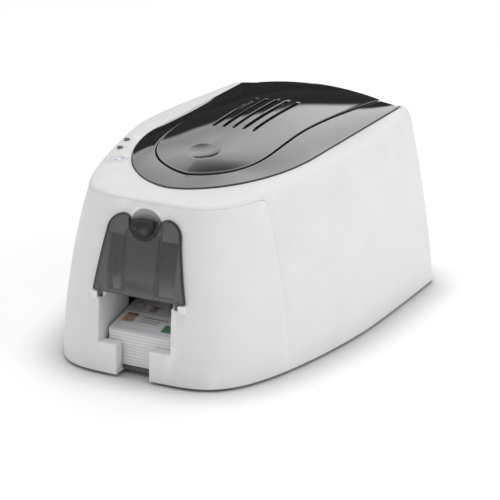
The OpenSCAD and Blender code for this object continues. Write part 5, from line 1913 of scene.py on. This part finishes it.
@dataclass
class Studio:
    """Floor, soft lights, world and camera, with angles in degrees.

    A turn is an angle from +Y towards +X. The world is an even fill, with a soft bright
    panel behind the printer's left shoulder. Its light changes from panel_dim to
    panel_light towards bright_turn, and to panel_peak higher up. Below the panel a dark
    flag ends at the heights of flag_edge.
    """

    azimuth: float = 28.53
    elevation: float = 19.17
    distance: float = 2.346
    target: Point = (0.0, -0.0015, 0.075)
    focal: float = 3093.0
    off_x: float = -14.7
    off_y: float = -25.0
    frame_px: float = 500.0
    sensor: float = 36.0
    panel_turn: float = -34.0
    panel_edges: Spot = (62.0, 30.0)
    panel_rise: Spot = (26.0, 40.0)
    panel_fade: Spot = (54.0, 70.0)
    bright_turn: float = -10.0
    bright_from: float = 0.93
    panel_light: float = 1.8
    panel_dim: float = 0.9
    panel_peak: float = 1.95
    top_share: float = 0.5
    soft_share: float = 0.85
    flag_edge: Spot = (20.6, 22.4)
    flag_light: float = 0.04
    card_away: float = 1.15
    card_size: Spot = (2.6, 0.3)
    card_inks: tuple[Colour, Colour] = ((0.012, 0.012, 0.012), (0.02, 0.02, 0.02))
    fill: float = 0.66
    weak_turn: float = 150.0
    lean: float = 0.17
    lamps: tuple[Lamp, ...] = (
        Lamp("key_right", (2.3, 0.5, 1.3), 2.2, 21.0),
        Lamp("top_soft", (-0.3, -1.1, 2.2), 1.8, 9.0),
    )
    floor_size: float = 12.0
    floor_z: float = -0.0003
    floor_ink: Colour = (0.9, 0.9, 0.905)
    floor_glow: float = 0.2
    # The contact fields set a painted shadow in the floor's colour near the printer.
    contact_reach: float = 0.04
    contact_edges: Spot = (0.45, 0.98)
    contact_shade: float = 0.52

    def build(self) -> None:
        """Sets the stage and the view settings."""
        bpy.context.scene.view_settings.view_transform = "Standard"
        self.floor()
        self.flag_card()
        self.world()
        self.lights()
        self.camera()

    @staticmethod
    def heading(turn: float) -> Vector:
        """The level direction at a turn."""
        return Vector((math.sin(math.radians(turn)), math.cos(math.radians(turn)), 0))

    @staticmethod
    def sines(angles: Spot) -> Iterable[float]:
        """The heights of two elevations on the sphere of directions."""
        return (math.sin(math.radians(a)) for a in angles)

    @staticmethod
    def matt(piece: Piece, name: str, roughness: float, specular: float) -> tuple[Wiring, Node]:
        """Gives a piece of the stage a plain material, and opens it.

        Args:
            piece: the piece.
            name: the material's name.
            roughness: its roughness.
            specular: its specular level.

        Returns:
            The material's wiring and its Principled node.
        """
        material = bpy.data.materials.new(name)
        material.use_nodes = True
        piece.data.materials.append(material)
        w = Wiring(material.node_tree)
        shader = next(n for n in w.tree.nodes if n.type == "BSDF_PRINCIPLED")
        shader.inputs["Roughness"].default_value = roughness
        shader.inputs["Specular IOR Level"].default_value = specular
        return w, shader

    def floor(self) -> None:
        """A plain pale floor that shows white and keeps the shadow, with a painted contact shadow
        that darkens its colour near the printer.
        """
        Bench.clear()
        bpy.ops.mesh.primitive_plane_add(size=self.floor_size, location=(0, 0, self.floor_z))
        floor = Bench.settle("studio_floor")
        w, shader = self.matt(floor, "floor_white", 0.9, 0.1)
        # Painted shadow: near the printer, ambient occlusion turns the floor's colour towards
        # contact_shade and takes away its glow.
        near = w.add("AmbientOcclusion", Distance=self.contact_reach)
        near.samples = 12
        free_of_painted_shadow = w.ramp(near.outputs["AO"], *self.contact_edges)
        shade = (self.contact_shade,) * 3
        w.put(shader.inputs["Base Color"], w.blend(free_of_painted_shadow, shade, self.floor_ink))
        path = w.add("LightPath").outputs
        seen = w.maths("MAXIMUM", path["Is Camera Ray"], path["Is Glossy Ray"])
        glow = w.maths("MULTIPLY", w.maths("MULTIPLY", seen, free_of_painted_shadow), self.floor_glow)
        both = w.add("AddShader")
        w.put(both.inputs[0], shader.outputs[0])
        w.put(both.inputs[1], w.add("Emission", Color=(1, 1, 1, 1), Strength=glow).outputs[0])
        out = next(n for n in w.tree.nodes if n.type == "OUTPUT_MATERIAL")
        w.put(out.inputs["Surface"], both.outputs[0])

    def flag_card(self) -> None:
        """A low matt black card behind the printer, which only reflections show."""
        ahead = self.heading(self.panel_turn)
        aside = Vector((ahead.y, -ahead.x, 0))
        wide, high = self.card_size
        Bench.clear()
        bpy.ops.mesh.primitive_grid_add(x_subdivisions=12, y_subdivisions=2, size=1)
        card = Bench.settle("studio_flag_card")
        for vertex in card.data.vertices:
            height = (vertex.co.y + 0.5) * high + MM
            spot = ahead * self.card_away + aside * (vertex.co.x * wide)
            vertex.co = (spot.x, spot.y, height)
        w, shader = self.matt(card, "flag_black", 1.0, 0.5)
        cloth = w.add("TexNoise", Scale=90.0).outputs["Fac"]
        w.put(shader.inputs["Base Color"], w.blend(cloth, *self.card_inks))
        card.visible_camera = card.visible_diffuse = False
        card.visible_shadow = card.visible_transmission = False

    def panel(self, w: Wiring, flat: Socket, height: Socket) -> Socket:
        """The light of the soft panel, weaker at its top and on the flag below it.

        Args:
            w: the world's wiring.
            flat: the direction, level and of length 1.
            height: the direction's height.

        Returns:
            The light's strength.
        """
        toward = w.vector("DOT_PRODUCT", flat, self.heading(self.bright_turn))
        light = w.ramp(toward, self.bright_from, 1.0, self.panel_dim, self.panel_light)
        light = w.ramp(height, *self.sines(self.panel_rise), light, self.panel_peak)
        dim_top = self.panel_dim * self.top_share
        light = w.ramp(height, *self.sines(self.panel_fade), light, dim_top)
        glossy = w.add("LightPath").outputs["Is Glossy Ray"]
        light = w.maths("MULTIPLY", light, w.ramp(glossy, 0.0, 1.0, self.soft_share, 1.0))
        over_flag = w.ramp(height, *self.sines(self.flag_edge))
        return w.ramp(over_flag, 0.0, 1.0, self.flag_light, light)

    def world(self) -> None:
        """An even pale surround, with a soft panel behind the left shoulder over a dark flag."""
        world = bpy.data.worlds.new("studio")
        bpy.context.scene.world = world
        world.use_nodes = True
        w = Wiring(world.node_tree)
        back = next(n for n in w.tree.nodes if n.type == "BACKGROUND")
        back.inputs["Color"].default_value = (1, 1, 1, 1)
        way = w.add("TexCoord").outputs["Generated"]
        flat = w.vector("NORMALIZE", w.vector("MULTIPLY", way, (1, 1, 0)))
        facing = w.vector("DOT_PRODUCT", flat, self.heading(self.panel_turn))
        sector = w.ramp(facing, *(math.cos(math.radians(a)) for a in self.panel_edges))
        aside = w.vector("DOT_PRODUCT", way, self.heading(self.weak_turn))
        strong, weak = (self.fill * (1 + lean) for lean in (self.lean, -self.lean))
        around = w.ramp(aside, -1.0, 1.0, strong, weak)
        lit = w.ramp(sector, 0.0, 1.0, around, self.panel(w, flat, w.parts(way)[2]))
        path = w.add("LightPath").outputs
        shown = w.maths("MAXIMUM", path["Is Camera Ray"], path["Is Transmission Ray"])
        w.put(back.inputs["Strength"], w.ramp(shown, 0.0, 1.0, lit, 1.0))

    def lights(self) -> None:
        """A soft key from the right and a weak one from above."""
        for lamp in self.lamps:
            data = bpy.data.lights.new(lamp.name, "AREA")
            data.size = lamp.size
            data.energy = lamp.power
            light = bpy.data.objects.new(lamp.name, data)
            light.location = lamp.place
            aim = Vector(self.target) - Vector(lamp.place)
            light.rotation_euler = aim.to_track_quat("-Z", "Y").to_euler()
            bpy.context.collection.objects.link(light)

    def camera(self) -> None:
        """The camera, aimed so that the printer sits a little left of and above the centre."""
        a, e = math.radians(self.azimuth), math.radians(self.elevation)
        back = Vector((math.sin(a) * math.cos(e), -math.cos(a) * math.cos(e), math.sin(e)))
        right = Vector((math.cos(a), math.sin(a), 0))
        up = back.cross(right)
        aim = -back * self.focal - right * self.off_x + up * self.off_y
        data = bpy.data.cameras.new("camera")
        data.sensor_width = self.sensor
        data.lens = self.focal / self.frame_px * self.sensor
        data.clip_end = 50
        camera = bpy.data.objects.new("camera", data)
        camera.location = Vector(self.target) + back * self.distance
        camera.rotation_euler = aim.to_track_quat("-Z", "Y").to_euler()
        bpy.context.collection.objects.link(camera)
        bpy.context.scene.camera = camera


def main() -> None:
    """Builds the sub-assemblies in order and reports every piece."""
    logging.basicConfig(level=logging.INFO, format="%(name)s: %(message)s")
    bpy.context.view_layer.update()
    Bench.clear()
    paint = Paintshop()
    Studio().build()
    for part in (Body(paint), Lid(paint), Feeder(paint), Output(paint), Works(paint)):
        part.build()
        LOG.info("%s: %d pieces dressed", type(part).__name__, len(part.made))


if __name__ == "__main__":
    main()
